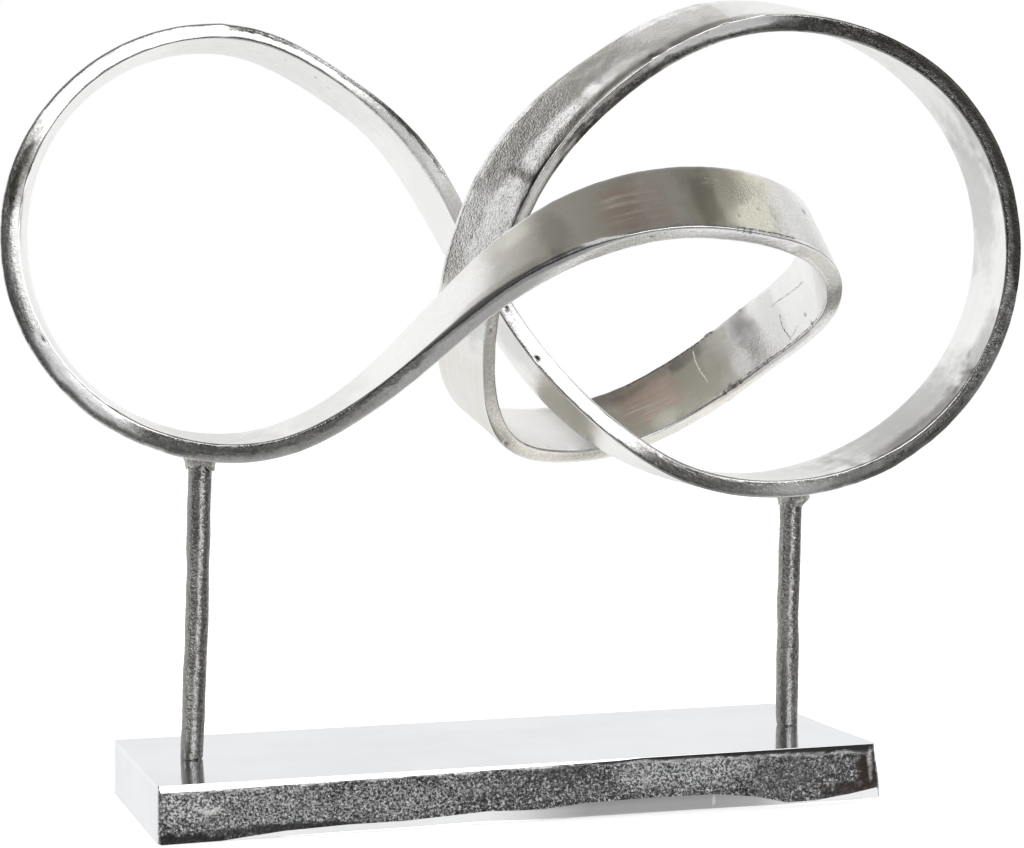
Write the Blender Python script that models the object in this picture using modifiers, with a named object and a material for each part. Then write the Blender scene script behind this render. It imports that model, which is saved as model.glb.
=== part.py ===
"""Abstract sculpture: a closed, knotted metal band on two rods and a cast block.

Metres, +Z up. +X runs along the block to the viewer's right and +Y away from
the viewer. The origin is the middle of the felt sheet's underside.

The band is one flat bar, BAND_WIDTH deep from front edge to back edge. Its
middle line runs through stations: round the left loop, over the front of the
crossing, round the tilted oval, up through the middle of the crossing, round
the right loop, and back behind the crossing into the left loop.
"""

import math

import bmesh
import bpy
import numpy as np

# Gaps between pieces
FIT_GAP = 0.0003
SEAM_GAP = 0.0003

# Cast block
BLOCK_LENGTH = 0.360
BLOCK_DEPTH = 0.130
BLOCK_HEIGHT = 0.0270
BLOCK_CORNER_ROUND = 0.0040
BLOCK_EDGE_ROUND = 0.0018

# Felt sheet under the block
FELT_THICKNESS = 0.0015
FELT_INSET = 0.0040

# Rods: an inset runs from the block's end to the middle of the foot, and a
# lean is how far the top lies to the right of the foot
ROD_DIAMETER = 0.012
LEFT_ROD_INSET = 0.028
LEFT_ROD_LEAN = 0.006
RIGHT_ROD_INSET = 0.019
RIGHT_ROD_LEAN = 0.002

# Screws that hold the rods from below
SCREW_DIAMETER = 0.0060
SCREW_GRIP_IN_ROD = 0.0160
SCREW_HEAD_DIAMETER = 0.0100
SCREW_HEAD_HEIGHT = 0.0060
SCREW_END_CHAMFER = 0.0008
SCREW_HEAD_CHAMFER = 0.0005
HEX_ACROSS_FLATS = 0.0050
HEX_DEPTH = 0.0030
WASHER_DIAMETER = 0.0120
WASHER_THICKNESS = 0.0016
SCREW_HOLE_DIAMETER = 0.0066
COUNTERBORE_DIAMETER = 0.0140
HEAD_RECESS = 0.0012
TAPPED_RUN_OUT = 0.0020

# Weld metal between rod and band: wide at the band, thin at its lower lip
WELD_REACH = 0.0028
WELD_DEPTH = 0.0058
WELD_LIP = 0.0006
WELD_HOLLOW = 1.5
WELD_RINGS = 5
LEFT_WELD_SHIFT = -0.0003
RIGHT_WELD_SHIFT = 0.0014

# Band
BAND_WIDTH = 0.0370
BAND_THICKNESS = 0.0090
BAND_EDGE_ROUND = 0.0013
BAND_STEP = 0.0075
CROSSING_CLEARANCE = 0.0030
CROSSING_DEPTH = BAND_WIDTH + CROSSING_CLEARANCE

# Left loop: a circle seen from the front, run counterclockwise.
# Depths, flares and thicknesses are evenly spread from its start to its end.
LEFT_CENTRE = (-0.1345, 0.2795)
LEFT_RADIUS = 0.0990
LEFT_ANGLES = (50, 312)
LEFT_DEPTHS = (0.026, 0.016, 0.004, -0.004, -0.020)
LEFT_FLARE_ANGLES = (-8.5, -8, -14, -4.5, -5)
LEFT_THICKNESSES = (0.0065, 0.0095, 0.0095)

# Crossing in front: the place and lean of the band as it passes
FRONT_PASS = (-0.0125, 0.2585)
FRONT_PASS_LEAN_RATIOS = (-0.08, 0.44)

# Tilted oval, run clockwise
OVAL_CENTRE = (0.0815, 0.0, 0.2390)
OVAL_LONG_RADIUS = 0.0945
OVAL_SHORT_RADIUS = 0.0865
OVAL_TURN = 12.5
OVAL_RISE = 45.5
OVAL_LONG_SLOPE = 32.5
OVAL_ANGLES = (105, -165)
OVAL_STRETCH_FACTORS = (1.03, 0.96, 1.025, 0.965, 1.00, 1.01)
OVAL_SHIFTS = (0.0045, -0.0035, -0.008, 0.010, 0.0035, -0.002)
OVAL_FLARE_ANGLES = (-5, 15, 0.5, -4.5, 3.5, 19.5)
OVAL_THICKNESSES = (0.0100, 0.0090, 0.0080)

# Crossing in the middle, from the oval up to the right loop
MIDDLE_PASS = (0.007, 0.3015)
MIDDLE_PASS_DEPTH = -0.001
MIDDLE_PASS_LEAN_RATIOS = (-0.33, 1.00)
RISE_PASS = (0.069, 0.3665)
RISE_PASS_LEAN_RATIOS = (0.06, 0.59)

# Right loop: an upright ellipse seen from the front, run clockwise
RIGHT_CENTRE = (0.1490, 0.2735)
RIGHT_RADIUS_ACROSS = 0.1310
RIGHT_RADIUS_UP = 0.1200
RIGHT_ANGLES = (105, -105)
RIGHT_DEPTHS = (0.000, -0.004, 0.000, 0.004, 0.009)
RIGHT_FLARE_ANGLES = (21.5, 2.5, -1, -10, -1)

# Crossing behind, from the right loop back to the left one
LOW_PASS = (0.0935, 0.166)
LOW_PASS_DEPTH = 0.017
LOW_PASS_LEAN_RATIOS = (-0.16, 0.05)
BACK_PASS = (0.0165, 0.244)
BACK_PASS_LEAN_RATIOS = (-0.05, 0.04)
RETURN_PASS = (-0.0355, 0.330)
RETURN_PASS_LEAN_RATIOS = (-0.32, 0.15)

# Seams between the three castings, as angles on their loops
LEFT_SEAM_ANGLE = 90
OVAL_SEAM_ANGLE = -58
RIGHT_SEAM_ANGLE = 101

# How far a cutter runs past what it cuts, and the band's length that trims a rod
CUTTER_REACH = 0.010
TRIM_LENGTH = 0.060

ARC_STEP = 30
BOTTOM_ANGLE = 270
ROUND_SIDES = 32
MERGE_DISTANCE = 0.00001

# Colour and roughness of each finish
FINISHES = {
    "polished casting": ((0.60, 0.60, 0.60), 0.30),
    "hammered casting": ((0.58, 0.57, 0.55), 0.32),
    "cast block": ((0.62, 0.62, 0.63), 0.35),
    "bar": ((0.48, 0.47, 0.45), 0.35),
    "weld metal": ((0.42, 0.41, 0.38), 0.55),
    "screw steel": ((0.55, 0.55, 0.57), 0.30),
    "felt": ((0.03, 0.03, 0.035), 0.95),
}


def clear_scene():
    """Remove every object that the scene starts with."""
    for obj in list(bpy.data.objects):
        bpy.data.objects.remove(obj)


def new_collection(name):
    collection = bpy.data.collections.new(name)
    bpy.context.scene.collection.children.link(collection)
    return collection


def own_material(name, finish):
    """Principled material of one piece. Every finish but the felt is metal."""
    colour, roughness = FINISHES[finish]
    material = bpy.data.materials.new(name + " " + finish)
    material.use_nodes = True
    shader = material.node_tree.nodes["Principled BSDF"]
    shader.inputs["Base Color"].default_value = (*colour, 1.0)
    shader.inputs["Metallic"].default_value = 0.0 if finish == "felt" else 1.0
    shader.inputs["Roughness"].default_value = roughness
    return material


def add_object(name, mesh, collection, finish=None):
    """Object of a mesh in a collection, with its own material if it has a finish."""
    obj = bpy.data.objects.new(name, mesh)
    if finish:
        obj.data.materials.append(own_material(name, finish))
    collection.objects.link(obj)
    return obj


def mesh_from(bm, name, smooth_angle=30):
    """Mesh from a bmesh, with faces out, smooth but for its sharp edges."""
    bmesh.ops.recalc_face_normals(bm, faces=bm.faces)
    mesh = bpy.data.meshes.new(name)
    bm.to_mesh(mesh)
    bm.free()
    mesh.shade_smooth()
    mesh.set_sharp_from_angle(angle=math.radians(smooth_angle))
    return mesh


def bevel(obj, width, segments, angle=40):
    modifier = obj.modifiers.new("rounded edges", "BEVEL")
    modifier.width = width
    modifier.segments = segments
    modifier.limit_method = "ANGLE"
    modifier.angle_limit = math.radians(angle)


def cut(obj, cutter):
    """Take the cutter's shape out of an object."""
    modifier = obj.modifiers.new("cut by " + cutter.name, "BOOLEAN")
    modifier.operation = "DIFFERENCE"
    modifier.solver = "EXACT"
    modifier.object = cutter


def add_cutter(mesh, cutters, location=(0, 0, 0), turn=0.0):
    """Hidden object that only cuts others. turn leans it towards +X."""
    cutter = add_object(mesh.name, mesh, cutters)
    cutter.location = location
    cutter.rotation_euler.y = turn
    cutter.hide_render = True
    cutter.display_type = "WIRE"
    return cutter


def cylinder_mesh(name, radius, low, high, sides=ROUND_SIDES):
    """Upright cylinder about the local Z axis, between two heights."""
    bm = bmesh.new()
    bmesh.ops.create_cone(
        bm, cap_ends=True, segments=sides, radius1=radius, radius2=radius, depth=high - low
    )
    bmesh.ops.translate(bm, verts=bm.verts, vec=(0, 0, (low + high) / 2))
    return mesh_from(bm, name)


def box_mesh(name, length, depth, low, high):
    """Box centred on the Z axis, between two heights."""
    bm = bmesh.new()
    bmesh.ops.create_cube(bm, size=1)
    bmesh.ops.scale(bm, verts=bm.verts, vec=(length, depth, high - low))
    bmesh.ops.translate(bm, verts=bm.verts, vec=(0, 0, (low + high) / 2))
    return mesh_from(bm, name)


def unit(vectors):
    """Vectors scaled to length one along their last axis."""
    return vectors / np.linalg.norm(vectors, axis=-1, keepdims=True)


def spread(values, share):
    """Value at a share of the way through evenly spaced values."""
    return np.interp(share, np.linspace(0, 1, len(values)), values)


def arc_stations(centre, axes, radii, angles, depths, flares, thicknesses, stretches=(1, 1)):
    """Stations along an elliptic arc, one about every ARC_STEP degrees.

    axes holds the arc's two radial directions and its axle. A station is its
    angle, its point, the direction from front edge to back edge, and the
    band's thickness. A flare turns that direction away from the axle.
    """
    across, up, axle = axes
    count = round(abs(angles[1] - angles[0]) / ARC_STEP) + 1
    stations = []
    for share in np.linspace(0, 1, count):
        angle = angles[0] + (angles[1] - angles[0]) * share
        cosine = math.cos(math.radians(angle))
        sine = math.sin(math.radians(angle))
        outward = across * cosine + up * sine
        reach = (across * cosine * radii[0] + up * sine * radii[1]) * spread(stretches, share)
        point = centre + reach + axle * spread(depths, share)
        flare = math.tan(math.radians(spread(flares, share)))
        stations.append((angle, point, axle + outward * flare, spread(thicknesses, share)))
    return stations


def pass_station(place, depth, lean, thickness):
    """Station where the band runs free: place in X and Z, depth in Y.

    lean is how far the back edge lies to the right of and above the front
    edge, for each unit of depth.
    """
    point = np.array((place[0], depth, place[1]))
    return (None, point, np.array((lean[0], 1.0, lean[1])), thickness)


def oval_axes():
    """Long, short and axle directions of the tilted oval."""
    turn = math.radians(OVAL_TURN)
    rise = math.radians(OVAL_RISE)
    slope = math.radians(OVAL_LONG_SLOPE)
    level_reach = math.cos(rise)
    axle = np.array((-math.sin(turn) * level_reach, math.cos(turn) * level_reach, math.sin(rise)))
    level = unit(np.cross(axle, (0, 0, 1)))
    uphill = np.cross(level, axle)
    long_axis = level * math.cos(slope) + uphill * math.sin(slope)
    return long_axis, np.cross(long_axis, axle), axle


def band_stations():
    """All stations in running order, and each loop's first station number."""
    upright = np.eye(3)[[0, 2, 1]]
    sections = {
        "left": arc_stations(
            np.array((LEFT_CENTRE[0], 0, LEFT_CENTRE[1])), upright, (LEFT_RADIUS, LEFT_RADIUS),
            LEFT_ANGLES, LEFT_DEPTHS, LEFT_FLARE_ANGLES, LEFT_THICKNESSES,
        ),
        "front": [pass_station(FRONT_PASS, -CROSSING_DEPTH, FRONT_PASS_LEAN_RATIOS, OVAL_THICKNESSES[0])],
        "oval": arc_stations(
            np.array(OVAL_CENTRE), oval_axes(), (OVAL_LONG_RADIUS, OVAL_SHORT_RADIUS),
            OVAL_ANGLES, OVAL_SHIFTS, OVAL_FLARE_ANGLES, OVAL_THICKNESSES, OVAL_STRETCH_FACTORS,
        ),
        "middle": [
            pass_station(MIDDLE_PASS, MIDDLE_PASS_DEPTH, MIDDLE_PASS_LEAN_RATIOS, BAND_THICKNESS),
            pass_station(RISE_PASS, 0, RISE_PASS_LEAN_RATIOS, BAND_THICKNESS),
        ],
        "right": arc_stations(
            np.array((RIGHT_CENTRE[0], 0, RIGHT_CENTRE[1])), upright,
            (RIGHT_RADIUS_ACROSS, RIGHT_RADIUS_UP), RIGHT_ANGLES, RIGHT_DEPTHS, RIGHT_FLARE_ANGLES,
            (BAND_THICKNESS, BAND_THICKNESS),
        ),
        "back": [
            pass_station(LOW_PASS, LOW_PASS_DEPTH, LOW_PASS_LEAN_RATIOS, BAND_THICKNESS),
            pass_station(BACK_PASS, CROSSING_DEPTH, BACK_PASS_LEAN_RATIOS, BAND_THICKNESS),
            pass_station(RETURN_PASS, CROSSING_DEPTH, RETURN_PASS_LEAN_RATIOS, BAND_THICKNESS),
        ],
    }
    stations = []
    first = {}
    for name, section in sections.items():
        first[name] = len(stations)
        stations += section
    return stations, first


class ClosedSpline:
    """Smooth closed curve through values at rising places, as cubic pieces.

    The slopes at the places are those that keep the curvature unbroken.
    """

    def __init__(self, places, values):
        self.places = places
        self.values = np.vstack((values, values[:1]))
        count = len(values)
        gaps = np.diff(places)
        rises = np.diff(self.values, axis=0)
        matrix = np.zeros((count, count))
        right_side = np.zeros_like(values)
        for here in range(count):
            before = here - 1
            after = (here + 1) % count
            matrix[here, before] += 1 / gaps[before]
            matrix[here, here] += 2 / gaps[before] + 2 / gaps[here]
            matrix[here, after] += 1 / gaps[here]
            right_side[here] = 3 * (rises[before] / gaps[before] ** 2 + rises[here] / gaps[here] ** 2)
        slopes = np.linalg.solve(matrix, right_side)
        self.slopes = np.vstack((slopes, slopes[:1]))

    def at(self, places):
        """Values and slopes at places along the curve."""
        length = self.places[-1]
        places = np.asarray(places) % length
        piece = np.clip(np.searchsorted(self.places, places, side="right") - 1, 0, len(self.places) - 2)
        gap = (self.places[piece + 1] - self.places[piece])[:, None]
        share = (places - self.places[piece])[:, None] / gap
        start, end = self.values[piece], self.values[piece + 1]
        start_slope, end_slope = self.slopes[piece] * gap, self.slopes[piece + 1] * gap
        value = (
            start * (2 * share**3 - 3 * share**2 + 1)
            + start_slope * (share**3 - 2 * share**2 + share)
            + end * (3 * share**2 - 2 * share**3)
            + end_slope * (share**3 - share**2)
        )
        slope = (
            (end - start) * 6 * (share - share**2)
            + start_slope * (3 * share**2 - 4 * share + 1)
            + end_slope * (3 * share**2 - 2 * share)
        ) / gap
        return value, slope


class Band:
    """The band's middle line, width direction and thickness by path length."""

    def __init__(self):
        self.stations, self.first = band_stations()
        points = np.array([station[1] for station in self.stations])
        widths = unit(np.array([station[2] for station in self.stations]))
        chords = np.linalg.norm(np.roll(points, -1, axis=0) - points, axis=1)
        self.places = np.concatenate(([0], np.cumsum(chords)))
        self.length = self.places[-1]
        self.line = ClosedSpline(self.places, points)
        self.width = ClosedSpline(self.places, widths)
        thicknesses = [station[3] for station in self.stations]
        self.thicknesses = np.array(thicknesses + thicknesses[:1])

    def frame(self, places):
        """Points, width directions, face normals and thicknesses at places."""
        points, slopes = self.line.at(places)
        along = unit(slopes)
        widths = self.width.at(places)[0]
        widths = unit(widths - along * np.sum(widths * along, axis=1, keepdims=True))
        normals = np.cross(along, widths)
        thicknesses = np.interp(np.asarray(places) % self.length, self.places, self.thicknesses)
        return points, widths, normals, thicknesses

    def place_on(self, loop, angle):
        """Path length at an angle on one of the loops."""
        start = self.first[loop]
        angles = []
        for station in self.stations[start:]:
            if station[0] is None:
                break
            angles.append(station[0])
        places = self.places[start : start + len(angles)]
        if angles[0] > angles[-1]:
            return np.interp(-angle, [-value for value in angles], places)
        return np.interp(angle, angles, places)

    def underside(self, loop, angle):
        """Lowest point of the band's cross-section at an angle on a loop."""
        place = self.place_on(loop, angle)
        points, widths, normals, thicknesses = self.frame([place])
        corners = []
        for side in (-1, 1):
            for face in (-1, 1):
                corners.append(
                    points[0] + widths[0] * side * BAND_WIDTH / 2 + normals[0] * face * thicknesses[0] / 2
                )
        return min(corner[2] for corner in corners)


def section_outline(width, thickness, corner):
    """Points of the band's cross-section, one row for each thickness.

    A flat bar whose four corners are rounded in two steps, with one more
    point halfway along each wide face.
    """
    arc = np.radians((0, 45, 90))
    across = []
    through = []
    for quarter, (side, face) in enumerate(((1, 1), (-1, 1), (-1, -1), (1, -1))):
        turned = arc + quarter * math.pi / 2
        across.append(side * (width / 2 - corner) + corner * np.cos(turned)[None, :])
        through.append(face * (thickness[:, None] / 2 - corner) + corner * np.sin(turned)[None, :])
        if quarter in (0, 2):
            across.append(np.zeros((1, 1)))
            through.append(face * thickness[:, None] / 2)
    rows = len(thickness)
    across = np.concatenate([np.broadcast_to(part, (rows, part.shape[1])) for part in across], axis=1)
    return across, np.concatenate(through, axis=1)


def band_mesh(band, name, start, end, grow=0.0):
    """A length of the band as one closed solid, with flat ends.

    The cross-section is carried along the middle line from one path length
    to another, and grow makes it larger all round.
    """
    steps = max(2, math.ceil((end - start) / BAND_STEP))
    places = np.linspace(start, end, steps + 1)
    points, widths, normals, thicknesses = band.frame(places)
    across, through = section_outline(
        BAND_WIDTH + 2 * grow, thicknesses + 2 * grow, BAND_EDGE_ROUND + grow
    )
    rings = points[:, None] + across[..., None] * widths[:, None] + through[..., None] * normals[:, None]
    sides = rings.shape[1]
    bm = bmesh.new()
    bmesh.ops.create_grid(bm, x_segments=sides, y_segments=steps, size=1)
    for vert in list(bm.verts):
        side = round((vert.co.x + 1) / 2 * sides) % sides
        step = round((vert.co.y + 1) / 2 * steps)
        vert.co = rings[step, side]
    bmesh.ops.remove_doubles(bm, verts=bm.verts, dist=MERGE_DISTANCE)
    bmesh.ops.holes_fill(bm, edges=[edge for edge in bm.edges if edge.is_boundary], sides=sides)
    return mesh_from(bm, name)


def turned(name, outline, collection, finish):
    """Solid turned about the local Z axis from an outline run downwards."""
    bm = bmesh.new()
    verts = [bm.verts.new((radius, 0, height)) for radius, height in outline]
    for first, second in zip(verts, verts[1:]):
        bm.edges.new((first, second))
    mesh = bpy.data.meshes.new(name)
    bm.to_mesh(mesh)
    bm.free()
    obj = add_object(name, mesh, collection, finish)
    screw = obj.modifiers.new("turned", "SCREW")
    screw.steps = ROUND_SIDES
    screw.render_steps = ROUND_SIDES
    screw.use_merge_vertices = True
    screw.merge_threshold = MERGE_DISTANCE
    return obj


def rod_feet():
    """X of each rod's foot on the block."""
    return {"left": LEFT_ROD_INSET - BLOCK_LENGTH / 2, "right": BLOCK_LENGTH / 2 - RIGHT_ROD_INSET}


def build_block(parts, cutters):
    """Cast block with a counterbored screw hole under each rod.

    Returns the heights of the washers' seat and of the block's top.
    """
    low = FELT_THICKNESS
    top = low + BLOCK_HEIGHT
    mesh = box_mesh("base_block", BLOCK_LENGTH, BLOCK_DEPTH, low, top)
    block = add_object("base_block", mesh, parts, "cast block")
    corners = block.modifiers.new("rounded corners", "BEVEL")
    corners.width = BLOCK_CORNER_ROUND
    corners.segments = 3
    corners.limit_method = "WEIGHT"
    weights = mesh.attributes.new("bevel_weight_edge", "FLOAT", "EDGE")
    for edge in mesh.edges:
        first, second = (mesh.vertices[index].co for index in edge.vertices)
        upright = abs(first.z - second.z) > BLOCK_HEIGHT / 2
        weights.data[edge.index].value = 1.0 if upright else 0.0
    bevel(block, BLOCK_EDGE_ROUND, 2)

    seat = low + HEAD_RECESS + SCREW_HEAD_HEIGHT + FIT_GAP + WASHER_THICKNESS
    below = low - CUTTER_REACH
    for side, foot in rod_feet().items():
        hole = cylinder_mesh(side + "_hole_cutter", SCREW_HOLE_DIAMETER / 2, below, top + CUTTER_REACH)
        bore = cylinder_mesh(side + "_bore_cutter", COUNTERBORE_DIAMETER / 2, below, seat)
        for shape in (hole, bore):
            cut(block, add_cutter(shape, cutters, (foot, 0, 0)))
    return seat, top


def build_felt(parts):
    """Thin sheet glued under the block, on which the sculpture stands."""
    length = BLOCK_LENGTH - 2 * FELT_INSET
    depth = BLOCK_DEPTH - 2 * FELT_INSET
    mesh = box_mesh("felt_sheet", length, depth, 0, FELT_THICKNESS - FIT_GAP)
    add_object("felt_sheet", mesh, parts, "felt")


def build_washer(side, foot, seat, parts, cutters):
    """Washer under the block's seat. Returns the height of its underside."""
    high = seat - FIT_GAP
    low = high - WASHER_THICKNESS
    mesh = cylinder_mesh(side + "_washer", WASHER_DIAMETER / 2, low, high)
    washer = add_object(side + "_washer", mesh, parts, "screw steel")
    washer.location.x = foot
    hole = cylinder_mesh(
        side + "_washer_hole_cutter", SCREW_HOLE_DIAMETER / 2, low - CUTTER_REACH, high + CUTTER_REACH
    )
    cut(washer, add_cutter(hole, cutters, (foot, 0, 0)))
    return low


def build_screw(side, foot, washer_low, top, parts, cutters):
    """Socket head screw, from below through the washer into the rod's foot."""
    shank = SCREW_DIAMETER / 2
    head = SCREW_HEAD_DIAMETER / 2
    head_top = washer_low - FIT_GAP
    head_low = head_top - SCREW_HEAD_HEIGHT
    tip = top + SCREW_GRIP_IN_ROD
    # Half of the turned outline, from the shank's end down to the head's underside
    outline = (
        (0, tip),
        (shank - SCREW_END_CHAMFER, tip),
        (shank, tip - SCREW_END_CHAMFER),
        (shank, head_top),
        (head, head_top),
        (head, head_low + SCREW_HEAD_CHAMFER),
        (head - SCREW_HEAD_CHAMFER, head_low),
        (0, head_low),
    )
    screw = turned(side + "_screw", outline, parts, "screw steel")
    screw.location.x = foot
    hex_radius = HEX_ACROSS_FLATS / 2 / math.cos(math.pi / 6)
    socket = cylinder_mesh(
        side + "_hex_cutter", hex_radius, head_low - CUTTER_REACH, head_low + HEX_DEPTH, sides=6
    )
    cut(screw, add_cutter(socket, cutters, (foot, 0, 0)))


def build_rod(side, foot, lean, band, floor, parts, cutters):
    """Rod from the block up to the band. It leans from foot to top.

    It ends on the band's underside, and its foot is level, with the screw's
    hole. Returns what the weld metal round its top needs: the place of its
    top, its slope and length, and the cutter in the shape of the band.
    """
    centre = LEFT_CENTRE if side == "left" else RIGHT_CENTRE
    radius = LEFT_RADIUS if side == "left" else RIGHT_RADIUS_ACROSS
    off_bottom = math.degrees(math.asin((foot + lean - centre[0]) / radius))
    angle = BOTTOM_ANGLE + off_bottom if side == "left" else BOTTOM_ANGLE - 360 + off_bottom
    under = band.underside(side, angle)
    length = math.hypot(lean, under - floor)
    slope = math.atan2(lean, under - floor)

    mesh = cylinder_mesh(side + "_rod", ROD_DIAMETER / 2, -ROD_DIAMETER, length + BAND_THICKNESS / 2)
    rod = add_object(side + "_rod", mesh, parts, "bar")
    rod.location = (foot, 0, floor)
    rod.rotation_euler.y = slope

    foot_box = box_mesh(
        side + "_foot_cutter", 4 * ROD_DIAMETER, 4 * ROD_DIAMETER, floor - 2 * ROD_DIAMETER, floor + FIT_GAP
    )
    tapped = cylinder_mesh(
        side + "_tapped_cutter", SCREW_DIAMETER / 2 + FIT_GAP,
        floor - CUTTER_REACH, floor + SCREW_GRIP_IN_ROD + TAPPED_RUN_OUT,
    )
    for shape in (foot_box, tapped):
        cut(rod, add_cutter(shape, cutters, (foot, 0, 0)))

    # The band's own length above the rod, a gap larger all round
    place = band.place_on(side, angle)
    above = band_mesh(
        band, side + "_band_cutter", place - TRIM_LENGTH / 2, place + TRIM_LENGTH / 2, FIT_GAP
    )
    above = add_cutter(above, cutters)
    cut(rod, above)
    return under, slope, length, above


def build_weld(side, foot, lean, shift, rod, floor, parts, cutters):
    """Weld metal round the rod's top, hollowed out towards its lower lip.

    Its radius falls from outer to lip as a power of the height that is left.
    """
    under, slope, length, above = rod
    bar = ROD_DIAMETER / 2 + FIT_GAP
    inner = bar - WELD_LIP
    outer = ROD_DIAMETER / 2 + WELD_REACH
    lip = bar + WELD_LIP
    high = BAND_THICKNESS / 2
    outline = [(inner, high), (outer, high)]
    for share in np.linspace(0, 1, WELD_RINGS):
        outline.append((lip + (outer - lip) * (1 - share) ** WELD_HOLLOW, -share * WELD_DEPTH))
    outline += [(inner, -WELD_DEPTH), (inner, high)]
    bead = turned(side + "_weld_bead", outline, parts, "weld metal")
    bead.location = (foot + lean + shift, 0, under)
    sleeve = cylinder_mesh(side + "_rod_cutter", bar, 0, length + 2 * BAND_THICKNESS)
    cut(bead, add_cutter(sleeve, cutters, (foot, 0, floor), slope))
    cut(bead, above)


def build_band(band, parts):
    """The band's three castings, which meet at their seams."""
    left = band.place_on("left", LEFT_SEAM_ANGLE)
    oval = band.place_on("oval", OVAL_SEAM_ANGLE)
    right = band.place_on("right", RIGHT_SEAM_ANGLE)
    lengths = (
        ("left_casting", left, oval, "polished casting"),
        ("middle_casting", oval, right, "hammered casting"),
        ("right_casting", right, left + band.length, "polished casting"),
    )
    for name, start, end, finish in lengths:
        mesh = band_mesh(band, name, start + SEAM_GAP / 2, end - SEAM_GAP / 2)
        add_object(name, mesh, parts, finish)


def main():
    clear_scene()
    parts = new_collection("abstract_sculpture")
    cutters = new_collection("cutters")
    band = Band()
    build_band(band, parts)
    seat, top = build_block(parts, cutters)
    build_felt(parts)
    tops = {
        "left": (LEFT_ROD_LEAN, LEFT_WELD_SHIFT),
        "right": (RIGHT_ROD_LEAN, RIGHT_WELD_SHIFT),
    }
    for side, foot in rod_feet().items():
        lean, shift = tops[side]
        washer_low = build_washer(side, foot, seat, parts, cutters)
        build_screw(side, foot, washer_low, top, parts, cutters)
        rod = build_rod(side, foot, lean, band, top, parts, cutters)
        build_weld(side, foot, lean, shift, rod, top, parts, cutters)


main()
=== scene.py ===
import math

import bpy
import numpy as np
from mathutils import Matrix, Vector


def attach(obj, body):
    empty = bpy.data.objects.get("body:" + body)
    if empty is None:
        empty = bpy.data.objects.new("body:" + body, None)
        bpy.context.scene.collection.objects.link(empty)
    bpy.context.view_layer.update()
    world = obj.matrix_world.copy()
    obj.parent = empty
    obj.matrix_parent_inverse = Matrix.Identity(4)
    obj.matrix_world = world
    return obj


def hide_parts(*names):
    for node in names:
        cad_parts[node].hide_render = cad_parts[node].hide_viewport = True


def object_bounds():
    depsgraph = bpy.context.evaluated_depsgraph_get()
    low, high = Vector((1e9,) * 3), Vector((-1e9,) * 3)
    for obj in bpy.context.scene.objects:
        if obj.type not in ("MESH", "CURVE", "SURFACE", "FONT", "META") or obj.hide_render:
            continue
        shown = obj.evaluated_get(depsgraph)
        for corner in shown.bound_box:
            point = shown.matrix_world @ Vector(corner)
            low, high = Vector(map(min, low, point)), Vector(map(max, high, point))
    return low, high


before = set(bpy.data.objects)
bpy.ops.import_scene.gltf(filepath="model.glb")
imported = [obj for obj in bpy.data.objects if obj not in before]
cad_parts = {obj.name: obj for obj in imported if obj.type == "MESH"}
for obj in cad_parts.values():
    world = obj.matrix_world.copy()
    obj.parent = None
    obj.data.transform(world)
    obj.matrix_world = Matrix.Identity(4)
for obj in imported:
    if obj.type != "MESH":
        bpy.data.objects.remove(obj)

# Abstract sculpture: a knotted metal band on two rods and a cast block.
# Lengths are in metres. The band, rods, weld metal, block and felt are surfaces
# worked out here, and stand for the plain solids of the same names.

cadBox = [list(corner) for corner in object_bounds()]
scene = bpy.context.scene
scene.view_settings.view_transform = "Standard"

viewpoint = dict(
    azimuth=-16.948,  # degrees round from the front, to the left
    elevation=3.541,
    roll=-0.241,
    distance=1.3904,
    target=(0.0121, 0.0, 0.1883),
    lens=97.56,
    sensor=36.0,
)


def addCamera(values):
    # camera on a sphere about the target, looking at it, turned by roll about its axis
    angles = (values["azimuth"], values["elevation"], values["roll"])
    azimuth, elevation, roll = (math.radians(angle) for angle in angles)
    reach = math.cos(elevation)
    back = np.array((math.sin(azimuth) * reach, -math.cos(azimuth) * reach, math.sin(elevation)))
    level = np.cross(-back, (0, 0, 1))
    level /= np.linalg.norm(level)
    upright = np.cross(level, -back)
    across = level * math.cos(roll) + upright * math.sin(roll)
    up = upright * math.cos(roll) - level * math.sin(roll)
    place = np.array(values["target"]) + back * values["distance"]
    data = bpy.data.cameras.new("camera")
    data.lens = values["lens"]
    data.sensor_width = values["sensor"]
    data.sensor_fit = "HORIZONTAL"
    camera = bpy.data.objects.new("camera", data)
    scene.collection.objects.link(camera)
    turn = np.eye(4)
    turn[:3, 0], turn[:3, 1], turn[:3, 2], turn[:3, 3] = across, up, back, place
    camera.matrix_world = Matrix(turn.tolist())
    scene.camera = camera


addCamera(viewpoint)
print("camera set")


def unitRows(vectors):
    return vectors / np.linalg.norm(vectors, axis=-1, keepdims=True)


def softStep(low, high, values):
    # 0 below low, 1 above high, and 3x^2 - 2x^3 between
    share = np.clip((values - low) / (high - low), 0, 1)
    return share * share * (3 - 2 * share)


def hump(distance, width):
    # bell of height one: exp(-(distance / width)^2)
    return np.exp(-((distance / width) ** 2))


def ripples(points, size, seed, waves=28):
    # sum of sine waves in random directions, with lengths near size: about -1 to 1
    draw = np.random.default_rng(seed)
    directions = unitRows(draw.normal(size=(waves, 3)))
    lengths = size * draw.uniform(0.7, 1.5, waves)
    phases = draw.uniform(0, 2 * math.pi, waves)
    angles = points @ (directions * (2 * math.pi / lengths)[:, None]).T + phases
    return np.sin(angles).sum(axis=-1) * math.sqrt(2 / waves) / 2


def layered(points, layers):
    # ripples added up: each layer has its amount, size and seed
    return sum(amount * ripples(points, size, seed) for amount, size, seed in layers)


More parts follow.
